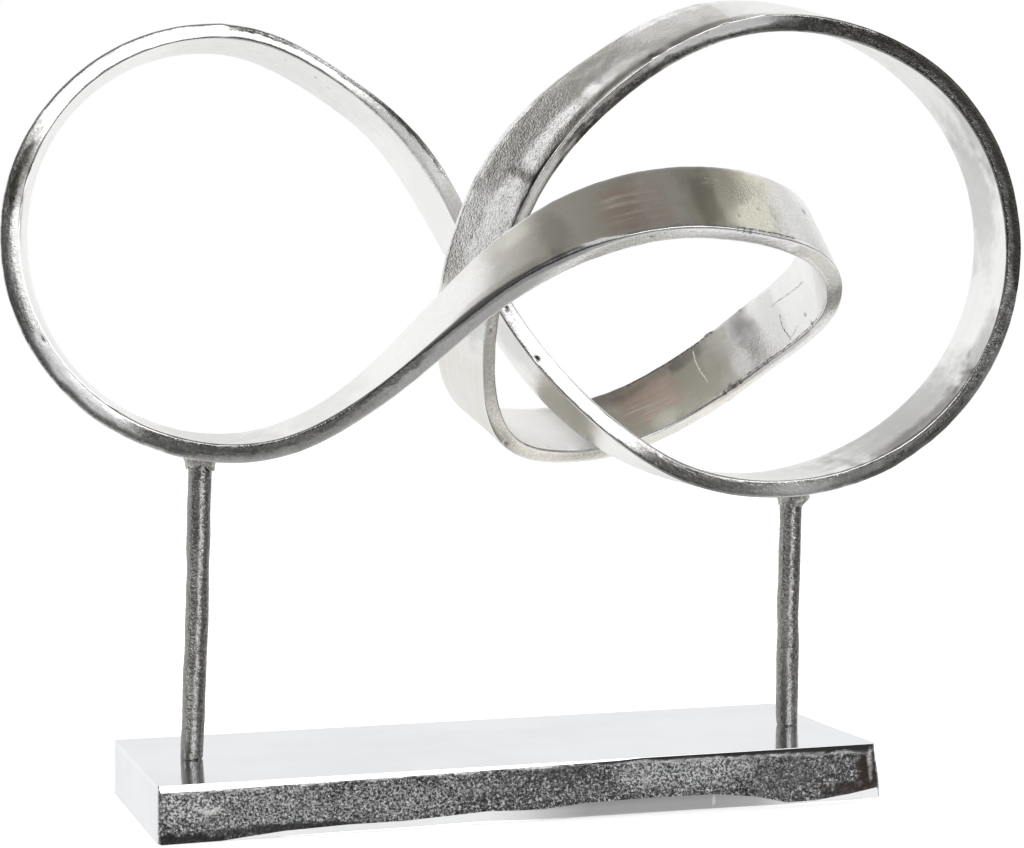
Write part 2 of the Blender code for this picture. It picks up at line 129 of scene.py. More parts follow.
def window(places, start, end, rise, fall=None):
    # 1 between start and end, rising and falling softly inside them
    fall = fall or rise
    return softStep(start, start + rise, places) * (1 - softStep(end - fall, end, places))


def dimples(points, size, seed):
    # smooth hollows with crests between them: minus the ripples' square root of squares
    first = ripples(points, size, seed)
    second = ripples(points, size, seed + 1)
    return 0.6 - np.sqrt(first**2 + second**2)


def gridMesh(name, rows, uv=None, masks=None, poles=True, lids=False, endless=False):
    # closed surface from rings of points: ring i, point k joins ring i + 1, point k + 1
    # poles close the first and last ring with a fan, lids with one flat face each;
    # an endless one joins last to first
    count, around = rows.shape[:2]
    index = np.arange(count * around).reshape(count, around)
    following = np.roll(index, -1, axis=0) if endless else index[1:]
    here = index if endless else index[:-1]
    quads = np.stack(
        (here, np.roll(here, -1, axis=1), np.roll(following, -1, axis=1), following), axis=-1
    ).reshape(-1, 4)
    vertices = rows.reshape(-1, 3)
    fans = np.zeros((0, 3), int)
    if poles:
        vertices = np.vstack((vertices, rows[0].mean(axis=0), rows[-1].mean(axis=0)))
        start, end = count * around, count * around + 1
        first, last = index[0], index[-1]
        fans = np.vstack((
            np.stack((np.roll(first, -1), first, np.full(around, start)), axis=-1),
            np.stack((last, np.roll(last, -1), np.full(around, end)), axis=-1),
        ))
    corners = np.vstack((quads[:, [0, 1, 2]], quads[:, [0, 2, 3]], fans))
    middle = vertices.mean(axis=0)
    a, b, c = (vertices[corners[:, side]] - middle for side in range(3))
    flip = -1 if np.einsum("ij,ij->i", a, np.cross(b, c)).sum() < 0 else 1
    quads, fans = quads[:, ::flip], fans[:, ::flip]
    mesh = bpy.data.meshes.new(name)
    flat = [index[0][::-flip].tolist(), index[-1][::flip].tolist()] if lids else []
    mesh.from_pydata(vertices.tolist(), [], quads.tolist() + fans.tolist() + flat)
    if uv is not None:
        along, across = uv
        wide = np.stack(np.broadcast_arrays(along[:, None], across[None, :]), axis=-1)
        end = across.shape[0] - 1
        quadUv = np.stack((wide[:-1, :end], wide[:-1, 1:], wide[1:, 1:], wide[1:, :end]), axis=2)
        quadUv = quadUv.reshape(-1, 4, 2)[:, ::flip]
        fanUv = np.zeros((len(fans), 3, 2))
        layer = mesh.uv_layers.new(name="UVMap")
        wholeUv = np.concatenate((quadUv.ravel(), fanUv.ravel()))
        layer.data.foreach_set("uv", wholeUv.astype(np.float32))
    for key, values in (masks or {}).items():
        full = np.broadcast_to(values, (count, around))
        full = np.concatenate((full.ravel(), [full[0].mean(), full[-1].mean()] if poles else []))
        layer = mesh.attributes.new(key, "FLOAT", "POINT")
        layer.data.foreach_set("value", full.astype(np.float32))
    mesh.shade_smooth()
    mesh.set_sharp_from_angle(angle=math.radians(60))
    piece = bpy.data.objects.new(name, mesh)
    scene.collection.objects.link(piece)
    return piece


def finishPiece(piece, material, node):
    # the piece takes its material, rides on the one body and stands for its CAD node, which it
    # hides
    piece.data.materials.append(material)
    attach(piece, "root")
    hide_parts(node)


# The band's path, as in the plain solids. It passes the stations in the order given in
# bandPath; depths run from front to back, flares and leans tilt the band's width.
bandShape = dict(
    width=0.0370, thickness=0.0090, cornerRound=0.0011, arcStep=30,
    leftLoop=dict(
        centre=(-0.1345, 0.0, 0.2795), radii=(0.0990, 0.0990), angles=(50, 312),
        depths=(0.026, 0.016, 0.004, -0.004, -0.020), flares=(-8.5, -8, -14, -4.5, -5),
        thicknesses=(0.0065, 0.0095, 0.0095), stretches=(1, 1),
    ),
    oval=dict(
        centre=(0.0815, 0.0, 0.2390), radii=(0.0945, 0.0865), angles=(105, -165),
        depths=(0.0045, -0.0035, -0.008, 0.010, 0.0035, -0.002),
        flares=(-5, 15, 0.5, -4.5, 3.5, 19.5), thicknesses=(0.0100, 0.0090, 0.0080),
        stretches=(1.03, 0.96, 1.025, 0.965, 1.00, 1.01),
    ),
    rightLoop=dict(
        centre=(0.1490, 0.0, 0.2735), radii=(0.1310, 0.1200), angles=(105, -105),
        depths=(0.000, -0.004, 0.000, 0.004, 0.009), flares=(21.5, 2.5, -1, -10, -1),
        thicknesses=(0.0090, 0.0090), stretches=(1, 1),
    ),
    ovalTilt=(12.5, 45.5, 32.5),  # turn and rise of its axle, and its slope, in degrees
    frontPass=dict(place=(-0.0125, 0.2585), depth=-0.0400, lean=(-0.08, 0.44), thickness=0.0100),
    middlePass=dict(place=(0.007, 0.3015), depth=-0.001, lean=(-0.33, 1.00), thickness=0.0090),
    risePass=dict(place=(0.069, 0.3665), depth=0.0, lean=(0.06, 0.59), thickness=0.0090),
    lowPass=dict(place=(0.0935, 0.166), depth=0.017, lean=(-0.16, 0.05), thickness=0.0090),
    backPass=dict(place=(0.0165, 0.244), depth=0.0400, lean=(-0.05, 0.04), thickness=0.0090),
    returnPass=dict(place=(-0.0355, 0.330), depth=0.0400, lean=(-0.32, 0.15), thickness=0.0090),
    seams=dict(leftLoop=90, oval=-58, rightLoop=101),  # degrees where castings meet on the loops
)


def arcStations(loop, axes):
    # points on an elliptic arc: centre + r1 cos(a) across + r2 sin(a) up + depth axle
    across, up, axle = axes
    count = round(abs(loop["angles"][1] - loop["angles"][0]) / bandShape["arcStep"]) + 1
    share = np.linspace(0, 1, count)

    def spread(values):
        return np.interp(share, np.linspace(0, 1, len(values)), values)[:, None]

    angles = loop["angles"][0] + (loop["angles"][1] - loop["angles"][0]) * share
    cosine, sine = np.cos(np.radians(angles))[:, None], np.sin(np.radians(angles))[:, None]
    wide, tall = loop["radii"]
    reach = (across * cosine * wide + up * sine * tall) * spread(loop["stretches"])
    points = np.array(loop["centre"]) + reach + axle * spread(loop["depths"])
    widths = axle + (across * cosine + up * sine) * np.tan(np.radians(spread(loop["flares"])))
    return angles, points, widths, spread(loop["thicknesses"])[:, 0]


def passStation(spot):
    # one point where the band runs free, with the lean of its width
    point = np.array((spot["place"][0], spot["depth"], spot["place"][1]))
    width = np.array((spot["lean"][0], 1.0, spot["lean"][1]))
    return np.array((np.nan,)), point[None], width[None], np.array((spot["thickness"],))


def ovalAxes():
    # directions of the tilted oval's long and short radius and of its axle
    turn, rise, slope = (math.radians(angle) for angle in bandShape["ovalTilt"])
    flat = math.cos(rise)
    axle = np.array((-math.sin(turn) * flat, math.cos(turn) * flat, math.sin(rise)))
    level = unitRows(np.cross(axle, (0, 0, 1)))
    longAxis = level * math.cos(slope) + np.cross(level, axle) * math.sin(slope)
    return longAxis, np.cross(longAxis, axle), axle


def closedSpline(places, values):
    # cubic pieces through the values, whose slopes keep the curvature unbroken
    count = len(values)
    gap = np.diff(places)[:, None]
    rise = np.roll(values, -1, axis=0) - values
    gapBefore, riseBefore = np.roll(gap, 1, axis=0), np.roll(rise, 1, axis=0)
    matrix = (
        np.eye(count) * (2 / gapBefore + 2 / gap)
        + np.roll(np.eye(count), 1, axis=1) / gap
        + np.roll(np.eye(count), -1, axis=1) / gapBefore
    )
    slopes = np.linalg.solve(matrix, 3 * (riseBefore / gapBefore**2 + rise / gap**2))
    values, slopes = np.vstack((values, values[:1])), np.vstack((slopes, slopes[:1]))

    def at(where):
        # Hermite cubic and its slope at path lengths
        where = np.asarray(where) % places[-1]
        piece = np.clip(np.searchsorted(places, where, side="right") - 1, 0, count - 1)
        step = gap[piece]
        x = (where - places[piece])[:, None] / step
        start, end = values[piece], values[piece + 1]
        out, into = slopes[piece] * step, slopes[piece + 1] * step
        value = (
            start * (2 * x**3 - 3 * x**2 + 1) + out * (x**3 - 2 * x**2 + x)
            + end * (3 * x**2 - 2 * x**3) + into * (x**3 - x**2)
        )
        slope = (
            (end - start) * 6 * (x - x**2) + out * (3 * x**2 - 4 * x + 1)
            + into * (3 * x**2 - 2 * x)
        )
        return value, slope / step

    return at


def bandPath():
    # splines through all stations, and the path length at each loop's angles
    upright = np.eye(3)[[0, 2, 1]]
    axes = dict(leftLoop=upright, oval=ovalAxes(), rightLoop=upright)
    order = ("leftLoop", "frontPass", "oval", "middlePass", "risePass", "rightLoop", "lowPass",
             "backPass", "returnPass")
    sections = []
    for name in order:
        values = bandShape[name]
        part = arcStations(values, axes[name]) if name in axes else passStation(values)
        sections.append((name, part))
    points = np.vstack([part[1] for name, part in sections])
    widths = unitRows(np.vstack([part[2] for name, part in sections]))
    thicknesses = np.concatenate([part[3] for name, part in sections])
    chords = np.linalg.norm(np.roll(points, -1, axis=0) - points, axis=1)
    places = np.concatenate(([0], np.cumsum(chords)))
    line, width = closedSpline(places, points), closedSpline(places, widths)

    fine = np.linspace(0, places[-1], 20001)
    steps = np.linalg.norm(np.diff(line(fine)[0], axis=0), axis=1)
    run = np.concatenate(([0], np.cumsum(steps)))

    def frameAt(where):
        # points, width directions, face normals and thicknesses at lengths along the band
        where = np.interp(np.asarray(where) % run[-1], run, fine)
        point, slope = line(where)
        along = unitRows(slope)
        across = width(where)[0]
        across = unitRows(across - along * np.sum(across * along, axis=1, keepdims=True))
        thick = np.interp(where, places, np.append(thicknesses, thicknesses[0]))
        return point, across, np.cross(along, across), thick

    seams = {}
    first = 0
    for name, part in sections:
        if name in bandShape["seams"]:
            stretch = places[first:first + len(part[0])]
            rising = np.argsort(part[0])
            seam = np.interp(bandShape["seams"][name], part[0][rising], stretch[rising])
            seams[name] = np.interp(seam, fine, run)
        first += len(part[0])
    return frameAt, seams, run[-1]


frameAt, seams, bandLength = bandPath()


bandSurface = dict(
    step=0.00092,  # between rings
    faceSteps=32, edgeSteps=9, cornerSteps=4,
    seamGap=0.000006,  # left open between two castings
    edgeCrown=0.00010,  # how far the edges' middle stands over their rims
    faceCrown=0.00006,
    highest=0.0006,  # that any mark may stand over the plain bar
    boxInset=0.00002,  # kept inside the plain solids' box
    wave=0.00014, waveSize=0.034,  # hand grinding
    hammer=0.00034, hammerSize=0.0200, hammerRise=0.03, hammerFall=0.05,
    # stretch where the corner of face one and the front edge is ground round
    softCorner=dict(start=0.475, end=0.63, rise=0.05, more=0.0020),
    # stretches where one side of the front edge was ground off: start, end, side (+1 is
    # face one's), how far it reaches over the edge, and how deep
    tilts=(
        (0.165, 0.352, 1, 0.85, 0.0006), (0.352, 0.47, -1, 0.8, 0.0002),
        (1.225, 1.312, 1, 0.8, 0.0006), (1.545, 1.64, 1, 0.6, 0.00025),
    ),
    # layers of ripples, each with its amount, size and seed
    cornerWave=((0.35, 0.05, 31), (0.15, 0.008, 32)),
    edgeGrain=((1, 0.0026, 5), (0.6, 0.0013, 6)), edgeGrainHeight=0.00007,
    sandGrain=((1, 0.0042, 45), (0.6, 0.0024, 46)), sandGrainHeight=0.00006,
    skinRim=((0.22, 0.011, 11), (0.12, 0.004, 12)),
    patchRim=((1, 0.010, 23), (0.6, 0.0035, 24)), patchRagged=(0.04, 0.16),
    skinSoft=(0.1, 0.12), patchSoft=(0.22, 0.2),  # rims of skin and patches, along and across
    spotRim=((0.18, 0.012, 27), (0.10, 0.004, 28)),
    backSkin=((1, 0.06, 21), (0.5, 0.007, 22)), backSkinStrength=0.7,
    rubWidth=0.0035,  # of the corners that hands and paper rubbed bright
)


def sectionColumns():
    # one turn round the section: core point, offset direction and which side it is on
    # a point is core * (half size - corner round) + corner round * offset direction
    values = bandSurface
    corners = ((1, 1), (-1, 1), (-1, -1), (1, -1))
    core, offset, side = [], [], []
    for quarter, (across, through) in enumerate(corners):
        angle = np.radians(quarter * 90 + np.linspace(0, 90, values["cornerSteps"] + 1))
        core.append(np.tile((across, through), (len(angle), 1)))
        offset.append(np.stack((np.cos(angle), np.sin(angle)), axis=-1))
        side.append(np.full(len(angle), 4))
        count = values["faceSteps"] if quarter in (0, 2) else values["edgeSteps"]
        run = np.linspace(0, 1, count + 2)[1:-1, None]
        after = corners[(quarter + 1) % 4]
        core.append(np.array((across, through)) * (1 - run) + np.array(after) * run)
        offset.append(np.tile(offset[-1][-1], (count, 1)))
        side.append(np.full(count, quarter))
    return np.concatenate(core).astype(float), np.concatenate(offset), np.concatenate(side)


core, offset, side = sectionColumns()
onFaceOne, onFrontEdge, onFaceTwo, onBackEdge = (side == number for number in range(4))

# In all tables below, places along the band are path lengths. face is +1 or -1 for the
# two wide faces and 0 for the front edge. across runs from -1 at the front edge to +1 at
# the back, and on the front edge from -1 at face two to +1 at face one.
sideOf = {1: onFaceOne, 0: onFrontEdge, -1: onFaceTwo}

# Rough cast skin that was never ground off the front edge: start and end along the
# band, its place across the edge at both, half width and strength
skinPatches = (
    (1.946, 2.096, -0.92, -0.66, 0.34, 1.2), (0.186, 0.372, -0.55, -0.5, 0.52, 0.75),
    (0.34, 0.5, 0.5, 0.7, 0.45, 0.7), (0.7, 0.746, 0.2, 0.2, 0.9, 0.4),
    (1.15, 1.302, 0.45, -0.85, 0.4, 1), (1.304, 1.532, 0, 0, 1.3, 1),
    (1.522, 1.65, -0.2, -0.05, 0.62, 0.95), (1.64, 1.776, 0.05, 0.45, 0.95, 0.6),
)

# Patches of grain left from the mould, and of grey and reddish stains: face, start,
# end, middle across, half width and strength
facePatches = dict(
    sand=(
        (1, 1.066, 1.212, 0, 1.3, 1), (1, 1.205, 1.3, 0.5, 0.8, 0.35),
        (-1, 0.8, 0.85, -0.5, 0.6, 0.3), (1, 0.66, 0.74, -0.3, 0.9, 0.45),
    ),
    tarnish=(
        (1, 0.52, 0.702, -0.1, 1.3, 0.55), (1, 0.628, 0.696, 0, 1.4, 0.85),
        (-1, 0.838, 0.932, 0, 1.4, 0.5), (0, 0.56, 0.84, 0, 1.4, 0.5),
        (0, 0.84, 1.18, 0, 1.4, 0.48), (1, 1.792, 1.846, -0.1, 0.9, 0.6),
        (1, 0.208, 0.228, -1, 0.5, 0.9),
    ),
    blush=(
        (1, 0.594, 0.636, -0.05, 0.8, 0.8), (-1, 0.872, 0.916, 0.15, 0.6, 0.85),
        (-1, 0.886, 0.916, 0.76, 0.24, 1),
    ),
)

# Painted highlights (above 0) and painted shade (below 0), as soft spots on faces one and two
# and the front edge: place, middle across, half length, half width and amount
paintedLightSpots = dict(
    one=(
        (0.045, 0, 0.07, 1.8, -0.12), (0.27, -0.4, 0.05, 0.9, -0.07),
        (0.372, 0, 0.034, 1.8, -0.22), (0.435, 0.2, 0.026, 1.4, -0.1), (0.15, 0, 0.05, 1.8, 0.4),
        (0.5, 0.2, 0.03, 1, 0.4), (0.54, -0.94, 0.03, 0.24, -0.28),
        (0.212, -0.9, 0.014, 0.35, -0.4), (0.595, -1, 0.012, 0.06, 1),
        (0.53, 0.3, 0.014, 0.8, 0.4), (0.556, 0.7, 0.01, 0.45, 0.5),
        (0.575, -0.15, 0.008, 1.1, -0.24), (0.627, 0, 0.014, 1.6, 0.3),
        (0.6495, -0.2, 0.0075, 1.1, -0.42), (0.674, -0.6, 0.013, 0.6, 0.9),
        (0.676, 0, 0.01, 1.4, 0.4), (0.671, 0.45, 0.008, 0.45, -0.15),
        (0.71, 0.3, 0.026, 1.4, 0.55), (1.08, -0.55, 0.024, 0.8, 1),
        (1.092, 0.75, 0.008, 0.35, -0.15), (1.11, -0.5, 0.016, 0.8, 1),
        (1.122, 0.5, 0.016, 0.5, 0.45), (1.125, -0.38, 0.013, 0.55, 1),
        (1.134, -0.5, 0.012, 0.42, 1), (1.1385, -0.3, 0.009, 0.36, 0.9),
        (1.148, 0.2, 0.012, 0.55, -0.18), (1.1475, -0.55, 0.0034, 0.5, -0.8),
        (1.159, -0.48, 0.012, 0.36, 1), (1.166, 0.2, 0.014, 0.5, -0.1),
        (1.177, -0.45, 0.014, 0.36, 0.9), (1.196, -0.44, 0.018, 0.3, 0.66),
        (1.22, -0.42, 0.02, 0.32, 0.62), (1.125, 0.92, 0.02, 0.12, 0.66),
        (1.156, 0.92, 0.024, 0.16, 1), (1.195, 0.92, 0.025, 0.14, 0.5),
        (1.135, 0.15, 0.03, 0.3, 0.16), (1.262, 0.88, 0.028, 0.22, 0.72),
        (1.256, 0.15, 0.024, 0.8, 0.52), (1.178, -0.88, 0.024, 0.22, -0.45),
        (1.215, -0.9, 0.034, 0.2, -0.55), (1.27, -0.88, 0.038, 0.24, -0.66),
        (1.142, -1, 0.03, 0.07, -1), (1.206, -1, 0.034, 0.055, 1), (1.745, 0, 0.026, 1.6, -0.1),
        (1.8, 0, 0.02, 1.4, 0.2), (1.862, -0.4, 0.022, 0.9, -0.22),
    ),
    two=(
        (0.73, -0.3, 0.03, 1.2, -0.1), (0.79, 0, 0.024, 1.6, 0.55),
        (0.815, 0.75, 0.012, 0.3, 0.4), (0.827, 0.2, 0.009, 1.1, -0.34),
        (0.809, 0, 0.008, 1.6, 0.85), (0.829, 0.8, 0.011, 0.55, -0.28),
        (0.8385, -0.55, 0.007, 0.5, 0.65), (0.848, 0.1, 0.007, 0.8, -0.12),
        (0.866, 0.2, 0.014, 1.4, -0.14), (0.866, 0.85, 0.016, 0.3, -0.32),
        (0.905, 0.85, 0.03, 0.35, -0.35), (0.892, -0.75, 0.008, 0.4, 0.45),
        (0.912, 0, 0.018, 1.4, -0.14), (0.965, 0, 0.04, 1.6, 0.6), (1.415, 0, 0.05, 1.6, -0.12),
        (1.562, -0.8, 0.022, 0.5, -0.38), (1.615, -0.9, 0.04, 0.45, -0.36),
        (1.44, -0.9, 0.034, 0.45, -0.3), (1.62, 0.1, 0.05, 1.8, -0.4),
        (1.475, 0.4, 0.045, 1.1, -0.3), (1.69, 0, 0.03, 1.6, -0.2),
    ),
    front=(
        (0.012, -0.85, 0.03, 0.5, 0.85), (0.008, 0.15, 0.026, 0.7, -0.55),
        (0.05, 0, 0.03, 0.6, -0.15), (0.19, -0.5, 0.02, 0.9, -0.35),
        (0.195, 0.4, 0.021, 1.1, -0.8), (0.265, 0.8, 0.055, 0.5, 0.63),
        (0.24, 0, 0.02, 0.4, 0.45), (0.306, 0.15, 0.044, 0.75, 1),
        (0.368, 0.15, 0.036, 0.9, -0.36), (0.425, -0.2, 0.04, 0.8, -0.34),
        (0.525, 0.95, 0.07, 0.42, -0.34), (0.605, 0.2, 0.03, 1, 0.4),
        (0.732, 0, 0.032, 1.7, 0.55), (0.822, -0.65, 0.048, 0.7, -0.42),
        (0.9, 0, 0.032, 1.4, 0.7), (1.03, 0, 0.03, 1.5, -0.18), (1.095, 0.4, 0.03, 1, 0.6),
        (1.135, -0.75, 0.054, 0.55, -0.66), (1.142, 0.3, 0.03, 0.9, 0.95),
        (1.208, -0.75, 0.042, 0.6, -0.9), (1.205, 0.9, 0.02, 0.4, 0.5),
        (1.188, 0, 0.012, 0.6, -0.28), (1.288, 0.65, 0.036, 0.8, 1), (1.25, 0.75, 0.024, 0.6, 1),
        (1.287, 0, 0.02, 0.5, 0.75), (1.306, -0.85, 0.026, 0.5, -0.6),
        (1.42, 0, 0.11, 1.8, -0.38), (1.44, 0.8, 0.1, 1, -0.95), (1.51, 0.5, 0.036, 1, -0.55),
        (1.625, 0.8, 0.045, 0.8, -0.8), (1.694, 0, 0.02, 0.9, 0.55), (1.748, 0, 0.03, 1.8, -0.38),
        (1.937, 0.1, 0.048, 1.8, 0.95), (1.995, 0.35, 0.065, 0.85, 1),
        (1.99, -0.82, 0.042, 0.34, -1),
    ),
)

bandMarks = dict(
    # raised lines over the width: face, place, bow, height, width, from low to high
    welds=(
        (-1, 0.861, 0.0012, 0.00016, 0.0006, -0.35, 0.85),
        (1, 0.07, 0.001, 0.0001, 0.0012, -1, 1), (-1, 1.284, 0.002, 0.0001, 0.0012, -1, 1),
    ),
    # face, place, across, size and depth
    pits=(
        (-1, 0.7842, -0.56, 0.0009, 0.00045), (-1, 0.7817, -0.94, 0.0011, 0.0003),
        (-1, 0.8501, -0.94, 0.0014, 0.0003), (1, 1.1104, 0.28, 0.0008, 0.0005),
        (1, 0.7141, 0.38, 0.0016, 0.00018), (1, 0.665, -0.55, 0.0008, 0.00035),
        (1, 0.678, -0.2, 0.0007, 0.0003), (1, 0.015, -0.45, 0.0007, 0.0003),
        (1, 0.006, -0.3, 0.0006, 0.0003), (1, 0.032, -0.5, 0.0006, 0.00025),
        (0, 1.0696, 0.5, 0.0009, 0.0005), (0, 1.006, 0.8, 0.001, 0.00055),
        (0, 1.8777, 0.05, 0.001, 0.0005), (0, 1.8473, 0.7, 0.0014, 0.0006),
        (0, 0.2739, 0.8, 0.0011, 0.00045), (0, 0.618, 0.2, 0.001, 0.0003),
    ),
    # small lips on a corner: place, corner number, height and length
    burrs=(
        (0.8479, 3, 0.0008, 0.0024), (0.856, 2, 0.00095, 0.0026), (0.8261, 3, 0.00045, 0.0012),
        (0.069, 2, 0.0004, 0.003), (1.28, 1, 0.0004, 0.003),
    ),
)

# Hairline cracks and scratches drawn in the materials: side, points of place and
# across, width, and how dark (below 0: light)
hairlines = dict(
    leftCasting=(
        ("two", ((0.8029, 0.02), (0.8038, -0.2), (0.8039, -0.42), (0.8012, -0.86)), 0.00032, 0.85),
        ("two", ((0.807, 0.42), (0.8017, 0.44), (0.7918, 0.38), (0.7743, 0.26)), 0.0003, 0.6),
        ("two", ((0.802, -0.86), (0.793, -0.66)), 0.00022, 0.45),
        ("two", ((0.776, -0.97), (0.841, -0.97)), 0.00045, 0.75),
        ("two", ((0.825, -0.1), (0.83, -0.02), (0.838, -0.3)), 0.00018, 0.3),
        ("one", ((0.662, -0.975), (0.697, -0.955)), 0.0006, 0.85),
        ("one", ((0.65, 0.45), (0.657, 0.5)), 0.0004, 0.5),
        ("one", ((0.654, 0.38), (0.662, 0.4)), 0.0004, 0.45),
        ("one", ((0.652, 0.62), (0.66, 0.6)), 0.0003, 0.35),
    ),
    middleCasting=(
        ("two", ((0.8425, -0.97), (0.856, -0.98)), 0.0006, 0.75),
        ("two", ((0.8592, 0.84), (0.8606, 0.5), (0.8612, 0.1), (0.8604, -0.34)), 0.00045, -0.8),
        ("one", ((1.085, 0.9), (1.13, 0.9), (1.165, 0.84), (1.195, 0.82)), 0.00045, 0.6),
        ("one", ((1.19, 0.94), (1.25, 0.93)), 0.0003, 0.35),
        ("two", ((0.845, 0.985), (0.9, 0.985)), 0.0007, 0.7),
    ),
    rightCasting=(
        ("one", ((1.95, -0.97), (2.03, -0.98)), 0.0004, 0.45),
    ),
)


def apart(places, mark):
    # signed distance along the closed band
    return (places - mark + bandLength / 2) % bandLength - bandLength / 2


def bandRelief(places, rings, values):
    # height over the plain bar at ring i, column k, the mask of rough skin, and the stains
    where = places[:, None]
    across, through = core[None, :, 0], core[None, :, 1]
    corner = side == 4
    edge = (onFrontEdge | onBackEdge)[None, :] * (1 - np.abs(through) ** 6)
    face = (onFaceOne | onFaceTwo)[None, :] * (1 - np.abs(across) ** 12)
    # the middle of each side stands over its rims by a cube of the distance from it
    crown = values["edgeCrown"] * np.abs(through) ** 3 * (side % 2 == 1)
    crown = crown + values["faceCrown"] * np.abs(across) ** 3 * (side % 2 == 0)
    nearEdge = np.abs(offset[:, 0]) > np.abs(offset[:, 1])
    relief = -np.where(corner, np.where(nearEdge, values["edgeCrown"], values["faceCrown"]), crown)
    relief = relief + values["wave"] * ripples(rings, values["waveSize"], 3) * (0.4 + 0.6 * face)
    for start, end, sideSign, reach, drop in values["tilts"]:
        height = np.maximum(sideSign * through - (1 - reach), 0) / reach
        ground = window((where - start) / (end - start), 0, 1, 0.2)
        relief = relief - drop * ground * height * (onFrontEdge | corner & (offset[:, 0] < 0))

    skin = np.zeros(rings.shape[:2])
    ragged = layered(rings, values["skinRim"])
    softAlong, soft = values["skinSoft"]
    for start, end, acrossStart, acrossEnd, half, strength in skinPatches:
        share = ((where - start) % bandLength) / ((end - start) % bandLength)
        line = acrossStart + (acrossEnd - acrossStart) * share
        inside = 1 - softStep(half - soft, half + soft, np.abs(through - line) + ragged)
        skin = np.maximum(skin, inside * window(share, 0, 1, softAlong) * strength)
    skin = skin * (onFrontEdge | corner & (offset[:, 0] < -0.3))
    backSkin = softStep(-0.05, 0.5, layered(rings, values["backSkin"]))
    backSkin = values["backSkinStrength"] * backSkin * (onBackEdge | corner & (offset[:, 0] > 0.3))
    skin = np.maximum(skin, backSkin)
    grain = values["edgeGrainHeight"] * layered(rings, values["edgeGrain"])
    relief = relief + grain * edge * (0.3 + 0.9 * skin)

    stains = {kind: np.zeros(rings.shape[:2]) for kind in facePatches}
    ragged = layered(rings, values["patchRim"])
    raggedAlong, raggedAcross = values["patchRagged"]
    softAlong, soft = values["patchSoft"]
    for kind, patches in facePatches.items():
        for face, start, end, middle, half, strength in patches:
            share = (where - start) / (end - start) + raggedAlong * ragged
            away = np.abs(across - middle) + raggedAcross * ragged
            patch = window(share, 0, 1, softAlong) * (1 - softStep(half - soft, half + soft, away))
            stains[kind] = np.maximum(stains[kind], sideOf[face] * patch * strength)
    return relief, skin, stains


def paintedLightField(places, rings, values):
    # the painted highlight and painted shade spots as soft ovals with ragged rims, added up
    ragged = layered(rings, values["spotRim"])
    corner = side == 4
    columns = dict(
        one=(onFaceOne | corner & (offset[:, 1] > 0.8), core[:, 0]),
        two=(onFaceTwo | corner & (offset[:, 1] < -0.8), core[:, 0]),
        front=(onFrontEdge | corner & (offset[:, 0] < -0.3), core[:, 1]),
    )
    paintedLightShade = np.zeros(rings.shape[:2])
    for key, (on, reach) in columns.items():
        for place, middle, length, width, amount in paintedLightSpots[key]:
            along = apart(places[:, None], place) / length
            away = np.hypot(along, (reach - middle) / width) + ragged
            paintedLightShade += on * amount * (1 - softStep(0.45, 1.35, away))
    return np.clip(paintedLightShade, -1, 1)


def addMarks(places, relief, thick):
    # adds welds, pits and burrs to the relief, each a hump of its own; gives the pits' mask
    where = places[:, None]
    across, through = core[None, :, 0], core[None, :, 1]
    dark = np.zeros(relief.shape)
    for face, place, bow, height, width, low, high in bandMarks["welds"]:
        distance = apart(where, place + bow * (across**2 - 0.5))
        inside = window(across, low - 0.1, high + 0.1, 0.2)
        relief += sideOf[face] * inside * height * hump(distance, width)
    for face, place, middle, size, depth in bandMarks["pits"]:
        if face == 0:
            reach = (through - middle) * thick[:, None] / 2
        else:
            reach = (across - middle) * bandShape["width"] / 2
        hole = sideOf[face] * hump(np.hypot(apart(where, place), reach), size)
        relief -= depth * hole
        dark = np.maximum(dark, hole)
    angle = np.degrees(np.arctan2(offset[:, 1], offset[:, 0])) % 360
    for place, corner, height, length in bandMarks["burrs"]:
        near = (side == 4) * hump(np.abs(angle - (corner * 90 + 45)), 50)
        relief += height * near * hump(apart(where, place), length)
    return dark


